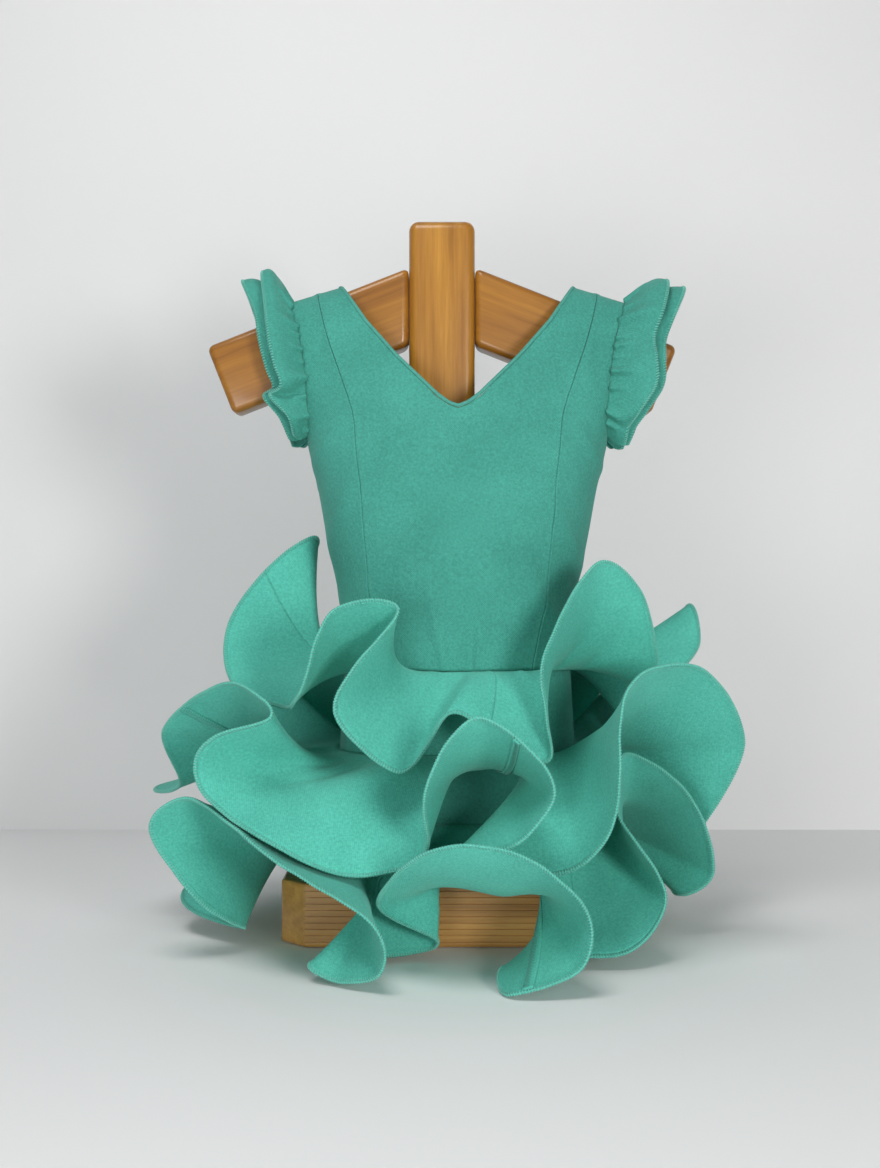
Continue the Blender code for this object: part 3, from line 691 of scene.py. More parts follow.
def even_line(line, count):
    """The line again in even steps, with its corners eased."""
    steps = np.linalg.norm(np.diff(line, axis=0), axis=1)
    walk = np.concatenate([[0.0], np.cumsum(steps)])
    even = np.linspace(0.0, walk[-1], count + 1)
    eased = np.stack([np.interp(even, walk, line[:, i]) for i in range(3)], axis=1)[:-1]
    for _ in range(2):
        eased = (np.roll(eased, 1, axis=0) + 2 * eased + np.roll(eased, -1, axis=0)) / 4
    return np.concatenate([eased, eased[:1]])


def cord_points(line, heart, radius, sides):
    """Points round a closed line, for a rolled strip."""
    inner = line[:-1]
    along = np.roll(inner, -1, axis=0) - np.roll(inner, 1, axis=0)
    along = along / np.linalg.norm(along, axis=1, keepdims=True)
    first = np.cross(along, inner - heart)
    first = first / np.linalg.norm(first, axis=1, keepdims=True)
    second = np.cross(along, first)
    turns = np.linspace(0.0, 2 * math.pi, sides + 1)
    ring = np.array([inner + radius * (math.cos(turn) * first + math.sin(turn) * second) for turn in turns])
    return np.concatenate([ring, ring[:, :1]], axis=1)


neck_path = even_line(neck_line(), BINDING_STEPS)
roll = bpy.data.objects.new("neck_roll", grid_mesh(
    "neck_roll", cord_points(neck_path, neck_path.mean(axis=0), BINDING, BINDING_SIDES), close=True))
bpy.context.scene.collection.objects.link(roll)
roll.data.materials.append(crepe("binding_crepe", BINDING_TEAL, BINDING_DEEP))
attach(roll, "root")
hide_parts("neck_binding")


# Skirt tube and tiers: three deep flounces cut from rings of crepe, so that the short inner edge lies
# flat on the skirt while the long hem rolls into big open flutes. Each hem is overlocked.
Tier = namedtuple("Tier", "up half deep leave")
UPPER = Tier(187, 81.8, 60.8, 28)
MIDDLE = Tier(130, 85, 63, 36)
LOWER = Tier(84, 89, 66, 40)
Bend = namedtuple("Bend", "seam across back up swell")
UPPER_HEM = [
    Bend(-105, -115, 45, 243, 8),
    Bend(-99, -92, 28, 277, 8),
    Bend(-95, -95, 15, 282, 8),
    Bend(-91, -112, 8, 272, 8),
    Bend(-87, -129, 3, 256, 6),
    Bend(-80, -151, -14, 222, 0),
    Bend(-71, -148, -40, 182, 0),
    Bend(-61, -110, -70, 164, 0),
    Bend(-50, -92, -114, 177, 0),
    Bend(-38, -70, -126, 230, 9),
    Bend(-27, -28, -120, 232, 9),
    Bend(-14, -67, -145, 165, 0),
    Bend(-6, -30, -133, 128, -10),
    Bend(6, 5, -112, 163, 0),
    Bend(20, 44, -112, 138, 0),
    Bend(28, 69, -121, 135, 0),
    Bend(34, 66, -119, 165, 0),
    Bend(40, 64, -112, 194, 8),
    Bend(50, 101, -87, 260, 9),
    Bend(60, 134, -64, 244, 8),
    Bend(70, 149, -45, 198, 0),
    Bend(82, 150, -10, 168, 0),
    Bend(94, 189, 18, 202, 0),
    Bend(104, 184, 42, 230, 0),
]
MIDDLE_HEM = [
    Bend(-104, -212, 25, 96, 0),
    Bend(-91, -184, -30, 108, 0),
    Bend(-80, -192, -52, 146, -8),
    Bend(-66, -138, -102, 183, -18),
    Bend(-55, -110, -130, 162, -12),
    Bend(-48, -146, -128, 150, -24),
    Bend(-36, -154, -126, 116, -16),
    Bend(-24, -104, -145, 83, 0),
    Bend(-10, -46, -140, 64, 0),
    Bend(-2, -10, -152, 82, 0),
    Bend(3, -11, -173, 120, -8),
    Bend(11, 22, -178, 167, -22),
    Bend(19, 67, -178, 118, -10),
    Bend(23, 44, -177, 90, 0),
    Bend(28, 4, -163, 80, -5),
    Bend(36, 78, -140, 66, -10),
    Bend(42, 105, -149, 95, 0),
    Bend(51, 116, -133, 178, 10),
    Bend(61, 164, -103, 194, 10),
    Bend(74, 206, -60, 140, 0),
    Bend(88, 178, -28, 70, -10),
]
LOWER_HEM = [
    Bend(-108, -187, -4, 24, 0),
    Bend(-92, -134, -66, 14, -20),
    Bend(-78, -162, -105, 44, -20),
    Bend(-68, -190, -107, 88, -20),
    Bend(-58, -165, -113, 109, -10),
    Bend(-45, -100, -158, 75, -20),
    Bend(-36, -38, -187, 40, -20),
    Bend(-30, -38, -178, 12, -24),
    Bend(-24, -64, -160, 3, -28),
    Bend(-18, -82, -142, 10, -32),
    Bend(-12, -24, -98, 4, -34),
    Bend(-6, -3, -106, 14, -36),
    Bend(1, -41, -142, 48, -38),
    Bend(6, -14, -178, 84, -62),
    Bend(13, 42, -189, 88, -75),
    Bend(20, 87, -184, 50, -42),
    Bend(25, 84, -188, 20, -42),
    Bend(31, 40, -185, 2, -50),
    Bend(37, 36, -142, 6, -56),
    Bend(45, 76, -124, 8, -50),
    Bend(54, 122, -122, 13, -36),
    Bend(63, 145, -108, 44, -30),
    Bend(75, 113, -104, 103, -20),
    Bend(83, 120, -85, 134, -10),
    Bend(94, 168, -62, 104, -10),
    Bend(105, 188, -42, 46, -20),
    Bend(114, 164, -32, 30, -25),
]

# The hidden back of each tier has even flutes: the quarter flutes it runs between, how long the cloth
# hangs from seam to hem, and how far a flute lifts and dips from level.
Flutes = namedtuple("Flutes", "first last reach lift dip swell")
UPPER_BACK = Flutes(0, 15, 98, 34, -45, 0)
MIDDLE_BACK = Flutes(-1, 15, 118, 32, -36, 0)
LOWER_BACK = Flutes(1, 15, 118, 4, -38, -12)
FLUTE_START = 116.0
FLUTE_PITCH = 33.0
FLUTE_SWING = 6.0

# Each tier is sewn end to end from four part-rings: the angles on the seam that each one runs between.
Part = namedtuple("Part", "word start finish")
UPPER_PARTS = [Part("front_left", -87, 15), Part("front_right", 15, 89),
               Part("back_right", 89, 188), Part("back_left", 188, 273)]
MIDDLE_PARTS = [Part("front_left", -75, 14), Part("front_right", 14, 111),
                Part("back_right", 111, 203), Part("back_left", 203, 285)]
LOWER_PARTS = [Part("front", -49, 43), Part("right", 43, 139),
               Part("back", 139, 220), Part("left", 220, 311)]

# A seam that pieces the lower tier's front part, seen on the wrong side of its low flap.
LOWER_PIECING = Part("piecing", 29, 29)

# The tiers are the bodice's teal crepe painted much lighter: painted light for the light the flounces catch.
TIER_LIT_TEAL = (0.118, 0.580, 0.465, 1.0)
TIER_LIT_DEEP = (0.060, 0.360, 0.286, 1.0)
HEM_THREAD = (0.165, 0.570, 0.470, 1.0)
SEAM_THREAD = (0.045, 0.300, 0.235, 1.0)
TUBE_COLUMNS = 96
TUBE_ROWS = 16

# Rows of cloth close together along a hem, in millimetres on a tier of the depth given, so that the
# needle line and the edge it draws in can be seen. The rest of the rows are even.
HEM_STEPS = [0.0, 0.9, 1.8, 2.5, 3.1, 3.7, 4.6, 6.0, 8.0]
TIER_DEPTH = 110.0
EVEN_SHARE = 0.35
NEEDLE_LINE = 3.1
NEEDLE_DEEP = 0.65
NEEDLE_WIDE = 0.55
JOIN_DEEP = 0.35
JOIN_WIDE = 1.3
Ripple = namedtuple("Ripple", "deep long shift")
RIPPLES = [Ripple(0.22, 7.3, 0.0), Ripple(0.16, 4.1, 1.3)]

# Soft creases running out from a seam: the angle they start at, how far they drift by the hem, where
# between seam and hem they begin and end, how wide they grow and how deep they are.
Crease = namedtuple("Crease", "angle drift begin end wide deep")
UPPER_CREASES = [
    Crease(-58, -6, 0.0, 0.55, 6.0, 1.8),
    Crease(-44, 4, 0.0, 0.40, 5.0, 1.6),
    Crease(-31, -3, 0.0, 0.35, 5.0, 1.8),
    Crease(-12, 3, 0.0, 0.50, 6.0, 1.5),
    Crease(3, -4, 0.0, 0.45, 6.0, -1.2),
    Crease(14, 6, 0.0, 0.60, 5.0, 1.7),
    Crease(29, -5, 0.0, 0.45, 5.0, 1.6),
    Crease(47, 4, 0.0, 0.50, 6.0, 1.8),
    Crease(66, -3, 0.1, 0.80, 8.0, 1.4),
    Crease(92, 5, 0.0, 0.60, 7.0, 1.6),
    Crease(131, -5, 0.0, 0.55, 7.0, 1.7),
    Crease(168, 4, 0.0, 0.60, 6.0, 1.6),
    Crease(205, -6, 0.1, 0.75, 8.0, 1.4),
    Crease(236, 3, 0.0, 0.50, 6.0, 1.7),
]
MIDDLE_CREASES = [
    Crease(-84, 5, 0.0, 0.55, 6.0, 1.7),
    Crease(-62, -4, 0.0, 0.60, 7.0, 1.9),
    Crease(-47, 6, 0.0, 0.75, 8.0, 2.2),
    Crease(-36, -3, 0.1, 0.80, 9.0, -1.5),
    Crease(-22, 5, 0.0, 0.50, 6.0, 1.6),
    Crease(-4, -5, 0.0, 0.60, 6.0, 1.7),
    Crease(11, 4, 0.0, 0.50, 6.0, 1.6),
    Crease(34, -4, 0.0, 0.65, 7.0, 1.8),
    Crease(52, 5, 0.0, 0.55, 7.0, 1.7),
    Crease(78, -4, 0.0, 0.60, 7.0, 1.8),
    Crease(104, 4, 0.1, 0.70, 8.0, 1.5),
    Crease(143, -5, 0.0, 0.60, 7.0, 1.8),
    Crease(178, 6, 0.0, 0.55, 7.0, 1.6),
    Crease(214, -4, 0.0, 0.60, 8.0, 1.7),
]
LOWER_CREASES = [
    Crease(-96, 4, 0.0, 0.60, 7.0, 1.7),
    Crease(-70, -5, 0.0, 0.55, 7.0, 1.8),
    Crease(-49, 5, 0.0, 0.65, 7.0, 1.9),
    Crease(-28, -4, 0.0, 0.55, 6.0, 1.6),
    Crease(-9, 5, 0.1, 0.70, 8.0, 1.8),
    Crease(12, -4, 0.0, 0.60, 7.0, 1.6),
    Crease(33, 5, 0.0, 0.55, 6.0, 1.7),
    Crease(58, -5, 0.0, 0.65, 8.0, 1.8),
    Crease(87, 4, 0.0, 0.60, 7.0, 1.6),
    Crease(126, -4, 0.0, 0.60, 8.0, 1.7),
    Crease(161, 5, 0.1, 0.70, 8.0, 1.6),
    Crease(198, -5, 0.0, 0.60, 7.0, 1.8),
    Crease(231, 4, 0.0, 0.55, 7.0, 1.6),
]


def ring(turn):
    """A point of the rounded ring that the bodice and the skirt share, as shares of its half sizes."""
    size = (abs(math.sin(turn)) ** ROUNDNESS + abs(math.cos(turn)) ** ROUNDNESS) ** (1 / ROUNDNESS)
    return math.sin(turn) / size, math.cos(turn) / size


def skirt_tube(across, along):
    side, toward = ring(across * 2 * math.pi)
    up = UPPER.up + 0.2 - (1.0 - along) * (UPPER.up + 6.2 - LOWER.up)
    levels = [LOWER.up, MIDDLE.up, UPPER.up]
    inside = WALL / 2 + SEAM_GAP + 0.4
    half = float(np.interp(up, levels, [LOWER.half, MIDDLE.half, UPPER.half])) - inside
    deep = float(np.interp(up, levels, [LOWER.deep, MIDDLE.deep, UPPER.deep])) - inside
    return (DRESS_MIDDLE + half * side, -deep * toward, up)


def seam_points(tier, angles):
    spots = [ring(math.radians(angle)) for angle in angles]
    return np.array([[DRESS_MIDDLE + tier.half * across, -tier.deep * toward, tier.up]
                     for across, toward in spots])


def hem_rows(tier, front, back):
    """The bends of the front with those of the back worked out, and the first ones again to close."""
    rows = [tuple(row) for row in front]
    for quarter in range(back.first, back.last + 1):
        angle = FLUTE_START + FLUTE_PITCH * quarter / 4
        phase = quarter / 4 * 2 * math.pi
        lean = math.radians(angle + FLUTE_SWING * math.sin(phase))
        climb = math.radians((back.lift + back.dip) / 2 - (back.lift - back.dip) / 2 * math.cos(phase))
        out = back.reach * math.cos(climb)
        hem = seam_points(tier, [angle])[0] + np.array(
            [out * math.sin(lean), -out * math.cos(lean), back.reach * math.sin(climb)])
        rows.append((angle, *hem, back.swell))
    before = [(row[0] - 360, *row[1:]) for row in rows[-3:]]
    after = [(row[0] + 360, *row[1:]) for row in rows[:3]]
    return before + rows + after


def tier_points(tier, front, back, creases, parts, columns=880):
    """The points of a tier from its hem up, its columns spread evenly along the hem, and the columns
    that its part-rings are joined at."""
    bends = hem_rows(tier, front, back)
    first = bends[3][0]
    angles = np.linspace(first, first + 360, 2881)
    hems = smooth(bends, angles)[:, :3]
    walk = np.concatenate([[0.0], np.cumsum(np.linalg.norm(np.diff(hems, axis=0), axis=1))])
    walk = walk / walk[-1] + np.linspace(0.0, EVEN_SHARE, len(walk))
    walk = walk / walk[-1]
    angle = np.interp(np.linspace(0.0, 1.0, columns + 1), walk, angles)
    turn = np.radians(angle)
    start = seam_points(tier, angle)
    bend = smooth(bends, angle)
    hem = bend[:, :3].copy()
    hem[:, 2] = np.maximum(hem[:, 2], WALL)
    knee = start + np.stack([tier.leave * np.sin(turn), -tier.leave * np.cos(turn), bend[:, 3]], axis=1)
    near_hem = np.array(HEM_STEPS) / TIER_DEPTH
    along = np.concatenate([near_hem, np.linspace(0.1, 1.0, 20)])[:, None, None]
    drop = 1.0 - along
    points = along ** 2 * start + 2 * along * drop * knee + drop ** 2 * hem
    face = np.cross(np.gradient(points, axis=1), np.gradient(points, axis=0))
    face = face / np.maximum(np.linalg.norm(face, axis=2, keepdims=True), 1e-9)
    stride = np.linalg.norm(np.gradient(points, axis=1), axis=2)
    degree = np.gradient(angle)
    depth = np.zeros(points.shape[:2])
    down = drop[:, 0, 0]
    for row in creases:
        for wrap in (-360, 0, 360):
            middle = row.angle + wrap + row.drift * down
            away = (angle[None, :] - middle[:, None]) * stride / degree[None, :]
            share = np.clip((down - row.begin) / (row.end - row.begin), 0.0, 1.0)
            bulge = np.sin(math.pi * share) ** 0.8
            wide = row.wide * (0.45 + 0.9 * share)
            depth += row.deep * bulge[:, None] * np.exp(-(away / wide[:, None]) ** 2)
    joins = []
    for part in parts:
        for wrap in (-360, 0, 360):
            if angles[0] <= part.start + wrap < angles[-1]:
                joins.append(int(round(np.interp(part.start + wrap, angle, np.arange(columns + 1)))))
                away = (angle[None, :] - part.start - wrap) * stride / degree[None, :]
                depth -= JOIN_DEEP * np.exp(-(away / JOIN_WIDE) ** 2)
    reach = np.concatenate([np.zeros((1, columns + 1)),
                            np.cumsum(np.linalg.norm(np.diff(points, axis=0), axis=2), axis=0)])
    depth -= NEEDLE_DEEP * np.exp(-((reach - NEEDLE_LINE) / NEEDLE_WIDE) ** 2)
    along_hem = np.concatenate([[0.0], np.cumsum(stride[0])[:-1]])
    ripple = sum(row.deep * np.sin(along_hem / row.long + row.shift) for row in RIPPLES)
    ripple *= np.clip(np.sin(math.pi * np.linspace(0.0, 1.0, columns + 1)) * 8, 0.0, 1.0)
    depth += ripple[None, :] * down[:, None] ** 6
    depth[:, -1] = depth[:, 0]
    return points + face * depth[:, :, None], joins


def ring_cut(points):
    """Where each point of a part-ring lies on the flat cloth: an arc with its seam's length, its depth
    and its area, whose hem the overlocking stretches out into the flutes."""
    reach = np.concatenate([np.zeros((1, points.shape[1])),
                            np.cumsum(np.linalg.norm(np.diff(points, axis=0), axis=2), axis=0)])
    depth = reach[-1].mean()
    seam = np.linalg.norm(np.diff(points[-1], axis=0), axis=1).sum()
    sweep = 2.0 * (surface(points) / depth - seam) / depth
    hem = np.concatenate([[0.0], np.cumsum(np.linalg.norm(np.diff(points[0], axis=0), axis=1))])
    turn = sweep * (hem / hem[-1] - 0.5)
    radius = seam / sweep + reach[-1][None, :] - reach
    return np.stack([radius * np.sin(turn), -radius * np.cos(turn)], axis=2)


def between(grid, low, high):
    """The columns of a closed grid from one to another, on past its last one where needed."""
    columns = grid.shape[1] - 1
    return grid[:, np.arange(low, high + 1) % columns]


def overlock(name, edge, inward, face, pitch=1.9, reach=2.8, over=1.05, thread=0.36, sides=4, turns=8):
    """The thread that runs over and over an edge, as one mesh of slanting loops."""
    walk = np.concatenate([[0.0], np.cumsum(np.linalg.norm(np.diff(edge, axis=0), axis=1))])
    loops = int(walk[-1] / pitch)
    at = np.linspace(0.0, walk[-1], loops * turns + 1)
    spin = np.linspace(0.0, 2 * math.pi * loops, loops * turns + 1)

    def follow(rows):
        return np.stack([np.interp(at, walk, rows[:, i]) for i in range(3)], axis=1)
    into = follow(inward)
    out = follow(face)
    line = (follow(edge) + into * (reach / 2 - 0.25 + reach / 2 * np.cos(spin))[:, None]
            + out * (over * np.sin(spin))[:, None])
    along = np.gradient(line, axis=0)
    along = along / np.linalg.norm(along, axis=1, keepdims=True)
    core = follow(edge) + into * (reach / 2)
    first = line - core
    first = first - along * np.sum(first * along, axis=1, keepdims=True)
    first = first / np.maximum(np.linalg.norm(first, axis=1, keepdims=True), 1e-9)
    second = np.cross(along, first)
    angle = np.linspace(0.0, 2 * math.pi, sides + 1)
    points = np.array([line + thread * (math.cos(a) * first + math.sin(a) * second) for a in angle])
    mesh = grid_mesh(name, points, close=True)
    made = bpy.data.objects.new(name, mesh)
    bpy.context.scene.collection.objects.link(made)
    return made


def edge_frame(points):
    """The lower edge of a sheet, the way into the cloth from it, and the way its face looks."""
    edge = points[0]
    into = points[1] - points[0]
    into = into / np.linalg.norm(into, axis=1, keepdims=True)
    face = np.cross(np.gradient(points, axis=1)[0], into)
    face = face / np.linalg.norm(face, axis=1, keepdims=True)
    return edge, into, face


def thread_look(name, colour):
    """Spun polyester thread, its ply showing as fine slanting ridges."""
    look = bpy.data.materials.new(name)
    look.use_nodes = True
    tree = look.node_tree
    shader = tree.nodes["Principled BSDF"]
    place = node(tree, "ShaderNodeTexCoord")
    ply = node(tree, "ShaderNodeTexNoise", in_Scale=2600.0, in_Detail=1.0)
    tree.links.new(place.outputs["Object"], ply.inputs["Vector"])
    tint = node(tree, "ShaderNodeMix", data_type="RGBA")
    tint.inputs[6].default_value = tuple(c * 0.72 for c in colour[:3]) + (1.0,)
    tint.inputs[7].default_value = colour
    tree.links.new(ply.outputs["Fac"], tint.inputs[0])
    tree.links.new(tint.outputs[2], shader.inputs["Base Color"])
    bump = node(tree, "ShaderNodeBump", in_Strength=0.4, in_Distance=0.0002)
    tree.links.new(ply.outputs["Fac"], bump.inputs["Height"])
    tree.links.new(bump.outputs["Normal"], shader.inputs["Normal"])
    shader.inputs["Roughness"].default_value = 0.6
    shader.inputs["Sheen Weight"].default_value = 0.2
    return look


skirt_look = crepe("skirt_crepe", TEAL, TEAL_DEEP)
# The tiers' crepe, which the seam allowances under them also use, is painted lighter than the bodice's:
# painted light.
tier_lit_look = crepe("tier_crepe_painted_light", TIER_LIT_TEAL, TIER_LIT_DEEP)
hem_thread = thread_look("hem_thread", HEM_THREAD)
tube_points = points_of(TUBE_COLUMNS, TUBE_ROWS, skirt_tube)
tube = cloth_piece("skirt_tube", tube_points, skirt_look, "skirt_base", close=True)


ALLOWANCE = 5.0
PIECING_ALLOWANCE = 7.0
ALLOWANCE_UNDER = 1.15
ALLOWANCE_THICK = 0.8
ALLOWANCE_COLUMNS = 14


def inner_seam(name, grid, column, wide=ALLOWANCE):
    """The allowance of a join, pressed to one side under the cloth and overlocked along its edge."""
    rows = []
    faces = []
    around = between(grid, column - 2, column + ALLOWANCE_COLUMNS)
    normal = np.cross(np.gradient(around, axis=1), np.gradient(around, axis=0))
    normal = normal / np.linalg.norm(normal, axis=2, keepdims=True)
    for j in range(1, len(around)):
        walk = np.concatenate([[0.0], np.cumsum(np.linalg.norm(np.diff(around[j, 2:], axis=0), axis=1))])
        at = np.linspace(0.0, min(wide, walk[-1]), 5)
        under = np.stack([np.interp(at, walk, around[j, 2:, i]) for i in range(3)], axis=1)
        down = np.stack([np.interp(at, walk, normal[j, 2:, i]) for i in range(3)], axis=1)
        rows.append(under - down * ALLOWANCE_UNDER)
        faces.append(down)
    strip = np.array(rows)
    seam = bpy.data.objects.new(name, grid_mesh(name, strip))
    bpy.context.scene.collection.objects.link(seam)
    seam.data.materials.append(tier_lit_look)
    thick = seam.modifiers.new("cloth", "SOLIDIFY")
    thick.thickness = ALLOWANCE_THICK * MM
    thick.offset = 0.0
    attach(seam, "root")
    edge = strip[:, -1]
    into = strip[:, -2] - edge
    into = into / np.linalg.norm(into, axis=1, keepdims=True)
    threads = overlock(name + "_thread", edge, into, np.array(faces)[:, -1], pitch=1.7, reach=4.6,
                       over=0.75, thread=0.28)
    threads.data.materials.append(seam_thread)
    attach(threads, "root")
    return [seam, threads]


seam_thread = thread_look("seam_thread", SEAM_THREAD)
for tier_name, tier, front, back, creases, parts in (
        ("upper", UPPER, UPPER_HEM, UPPER_BACK, UPPER_CREASES, UPPER_PARTS),
        ("middle", MIDDLE, MIDDLE_HEM, MIDDLE_BACK, MIDDLE_CREASES, MIDDLE_PARTS),
        ("lower", LOWER, LOWER_HEM, LOWER_BACK, LOWER_CREASES, LOWER_PARTS)):
    seams = parts + [LOWER_PIECING] if tier is LOWER else parts
    grid, joins = tier_points(tier, front, back, creases, seams)
    pieced = joins[len(parts):]
    joins = joins[:len(parts)]
    whole = grid.shape[1] - 1
    for part, low, high in zip(parts, joins, joins[1:] + [joins[0]]):
        if high <= low:
            high += whole
        points = between(grid, low, high)
        flat = ring_cut(points)
        piece_name = "flounce_" + tier_name + "_" + part.word
        piece = cloth_piece(piece_name, points, tier_lit_look, "ruffle_" + tier_name + "_" + part.word, flat)
        stitches = overlock("overlock_" + tier_name + "_" + part.word, *edge_frame(points))
        stitches.data.materials.append(hem_thread)
        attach(stitches, "root")
        extras = [stitches] + inner_seam("seam_" + tier_name + "_" + part.word, grid, low)
        for column in pieced:
            if low < column < high:
                extras += inner_seam("seam_" + tier_name + "_piecing", grid, column, PIECING_ALLOWANCE)
        size, area = cut_size(points, flat)


# Sleeves: two short gathered ruffles round the upper part of each armhole, the outer one standing
# up over the shoulder and the under one longer. Their free edges are overlocked like the tiers.
Sleeve = namedtuple("Sleeve", "along out forward up")
LEFT_OUTER = [
    Sleeve(0.00, 9, 5, 0),
    Sleeve(0.06, 13, 11, 0),
    Sleeve(0.12, 25, 9, 1),
    Sleeve(0.145, 25, 5, -1),
    Sleeve(0.17, 17, 13, -3),
    Sleeve(0.21, 20, 15, 3),
    Sleeve(0.30, 22, 14, 5),
    Sleeve(0.40, 20, 9, 12),
    Sleeve(0.47, 20, 4, 21),
    Sleeve(0.53, 20, -5, 22),
    Sleeve(0.60, 23, -9, 13),
    Sleeve(0.68, 21, -15, 6),
    Sleeve(0.76, 25, -9, 3),
    Sleeve(0.85, 19, -14, -1),
    Sleeve(1.00, 9, -6, -3),
]
LEFT_UNDER = [
    Sleeve(0.00, 13, 0, -4),
    Sleeve(0.06, 20, 4, -1),
    Sleeve(0.12, 30, 3, -1),
    Sleeve(0.145, 30, 0, -2),
    Sleeve(0.17, 23, 5, -4),
    Sleeve(0.21, 26, 7, 0),
    Sleeve(0.30, 29, 7, 3),
    Sleeve(0.40, 28, 4, 7),
    Sleeve(0.47, 34, 2, 17),
    Sleeve(0.53, 35, -4, 18),
    Sleeve(0.60, 32, -4, 9),
    Sleeve(0.68, 31, -8, 3),
    Sleeve(0.76, 34, -3, 0),
    Sleeve(0.85, 28, -6, -3),
    Sleeve(1.00, 14, -1, -6),
]
RIGHT_OUTER = [
    Sleeve(0.00, 12, 4, -6),
    Sleeve(0.045, 14, 6, -6),
    Sleeve(0.075, 16, 5, -7),
    Sleeve(0.10, 21, 13, -5),
    Sleeve(0.15, 30, 15, -1),
    Sleeve(0.24, 30, 14, 1),
    Sleeve(0.31, 27, 8, 2),
    Sleeve(0.38, 29, 12, 6),
    Sleeve(0.46, 31, 5, 15),
    Sleeve(0.53, 30, -4, 16),
    Sleeve(0.61, 26, -10, 9),
    Sleeve(0.70, 29, -15, 4),
    Sleeve(0.80, 24, -10, 0),
    Sleeve(0.88, 20, -14, -2),
    Sleeve(1.00, 10, -6, -4),
]
RIGHT_UNDER = [
    Sleeve(0.00, 15, 0, -8),
    Sleeve(0.045, 19, 1, -8),
    Sleeve(0.075, 22, 0, -8),
    Sleeve(0.10, 27, 6, -6),
    Sleeve(0.15, 36, 8, -2),
    Sleeve(0.24, 37, 8, 1),
    Sleeve(0.31, 36, 2, 2),
    Sleeve(0.38, 38, 6, 5),
    Sleeve(0.46, 43, 2, 13),
    Sleeve(0.53, 42, -3, 13),
    Sleeve(0.61, 36, -4, 6),
    Sleeve(0.70, 38, -8, 2),
    Sleeve(0.80, 32, -4, -3),
    Sleeve(0.88, 28, -6, -5),
    Sleeve(1.00, 15, -1, -8),
]
SLEEVE_FOOT = 352.0
SLEEVE_BELLY = 3.0
UNDER_TUCK = 2.2
SLEEVE_COLUMNS = 420
SLEEVE_ROWS = 26
GATHER_SHIFT = 0.02
CROWN_WIDE = 0.11
ARMHOLE_MIDDLE = 400.0

# Gathers at the sleeve seams: where along the seam, how wide, how deep, and how far they run out.
Gather = namedtuple("Gather", "along wide deep run")
LEFT_GATHERS = [
    Gather(0.025, 0.005, 0.8, 0.35),
    Gather(0.070, 0.008, 1.2, 0.85),
    Gather(0.130, 0.005, 1.0, 0.40),
    Gather(0.190, 0.009, 1.3, 0.95),
    Gather(0.238, 0.005, 0.8, 0.30),
    Gather(0.280, 0.006, 1.0, 0.40),
    Gather(0.326, 0.005, 0.9, 0.35),
    Gather(0.352, 0.007, 1.3, 0.55),
    Gather(0.402, 0.005, 0.7, 0.30),
    Gather(0.438, 0.006, 1.2, 0.50),
    Gather(0.462, 0.005, 1.0, 0.35),
    Gather(0.520, 0.007, 1.1, 0.55),
    Gather(0.575, 0.005, 0.9, 0.35),
    Gather(0.640, 0.008, 1.3, 0.80),
    Gather(0.705, 0.006, 1.0, 0.40),
    Gather(0.760, 0.006, 1.1, 0.50),
    Gather(0.835, 0.008, 1.2, 0.75),
    Gather(0.900, 0.005, 0.9, 0.40),
    Gather(0.955, 0.006, 1.0, 0.50),
]
RIGHT_GATHERS = [
    Gather(0.050, 0.006, 1.0, 0.50),
    Gather(0.085, 0.008, 1.4, 0.90),
    Gather(0.157, 0.005, 0.9, 0.40),
    Gather(0.210, 0.007, 1.2, 0.60),
    Gather(0.255, 0.005, 0.7, 0.30),
    Gather(0.290, 0.006, 1.2, 0.50),
    Gather(0.318, 0.005, 0.9, 0.35),
    Gather(0.375, 0.010, 1.4, 0.98),
    Gather(0.430, 0.005, 0.8, 0.30),
    Gather(0.484, 0.007, 1.1, 0.55),
    Gather(0.540, 0.005, 0.9, 0.40),
    Gather(0.600, 0.008, 1.2, 0.75),
    Gather(0.665, 0.006, 1.0, 0.45),
    Gather(0.735, 0.008, 1.3, 0.85),
    Gather(0.800, 0.005, 0.9, 0.40),
    Gather(0.870, 0.007, 1.1, 0.60),
    Gather(0.940, 0.006, 1.0, 0.45),
]


def armhole_point(share, side, front):
    top = known_top("armhole", 1.0, armhole, FRONT_NECK)
    turn = top - SHOULDER_ROUNDING
    if share <= 0.6:
        up = SLEEVE_FOOT + share / 0.6 * (turn - SLEEVE_FOOT)
    else:
        up = turn + SHOULDER_ROUNDING * math.sin((share - 0.6) / 0.4 * math.pi / 2)
    return body_point(side * armhole(up), up, front)


def sleeve_place(side, rows, tuck, crown):
    line = np.array([armhole_point(step / 24, side, True) for step in range(25)]
                    + [armhole_point(step / 24, side, False) for step in range(24, -1, -1)])
    walk = np.concatenate([[0.0], np.cumsum(np.linalg.norm(np.diff(line, axis=0), axis=1))])
    walk = walk / walk[-1]
    heart = np.array([0.0, ARMHOLE_MIDDLE])

    def place(across, along):
        edge = np.array([np.interp(across, walk, line[:, i]) for i in range(3)])
        away = edge[1:] - heart
        away = away / np.linalg.norm(away)
        start = edge + np.array([side * 0.7, -tuck * away[0], -tuck * away[1]])
        out, forward, up = smooth(rows, across)[0]
        drop = 1.0 - along
        spot = start + drop * np.array([side * out, -forward, up])
        rise = crown * math.exp(-((across - 0.5) / CROWN_WIDE) ** 2)
        belly = (SLEEVE_BELLY + rise) * math.sin(math.pi * drop ** 1.35)
        return spot + belly * np.array([0.0, away[0], away[1]])
    return place


def gathers(rows, shift, depth):
    def relief(across, along, point):
        drop = 1.0 - along
        total = 0.0
        for row in rows:
            share = drop / row.run
            if share < 1.0:
                away = (across - row.along - shift) / (row.wide * (1.0 + 0.8 * share))
                total += depth * row.deep * (1.0 - share) ** 0.7 * math.exp(-away ** 2)
        return total * min(drop / 0.04, 1.0)
    return relief


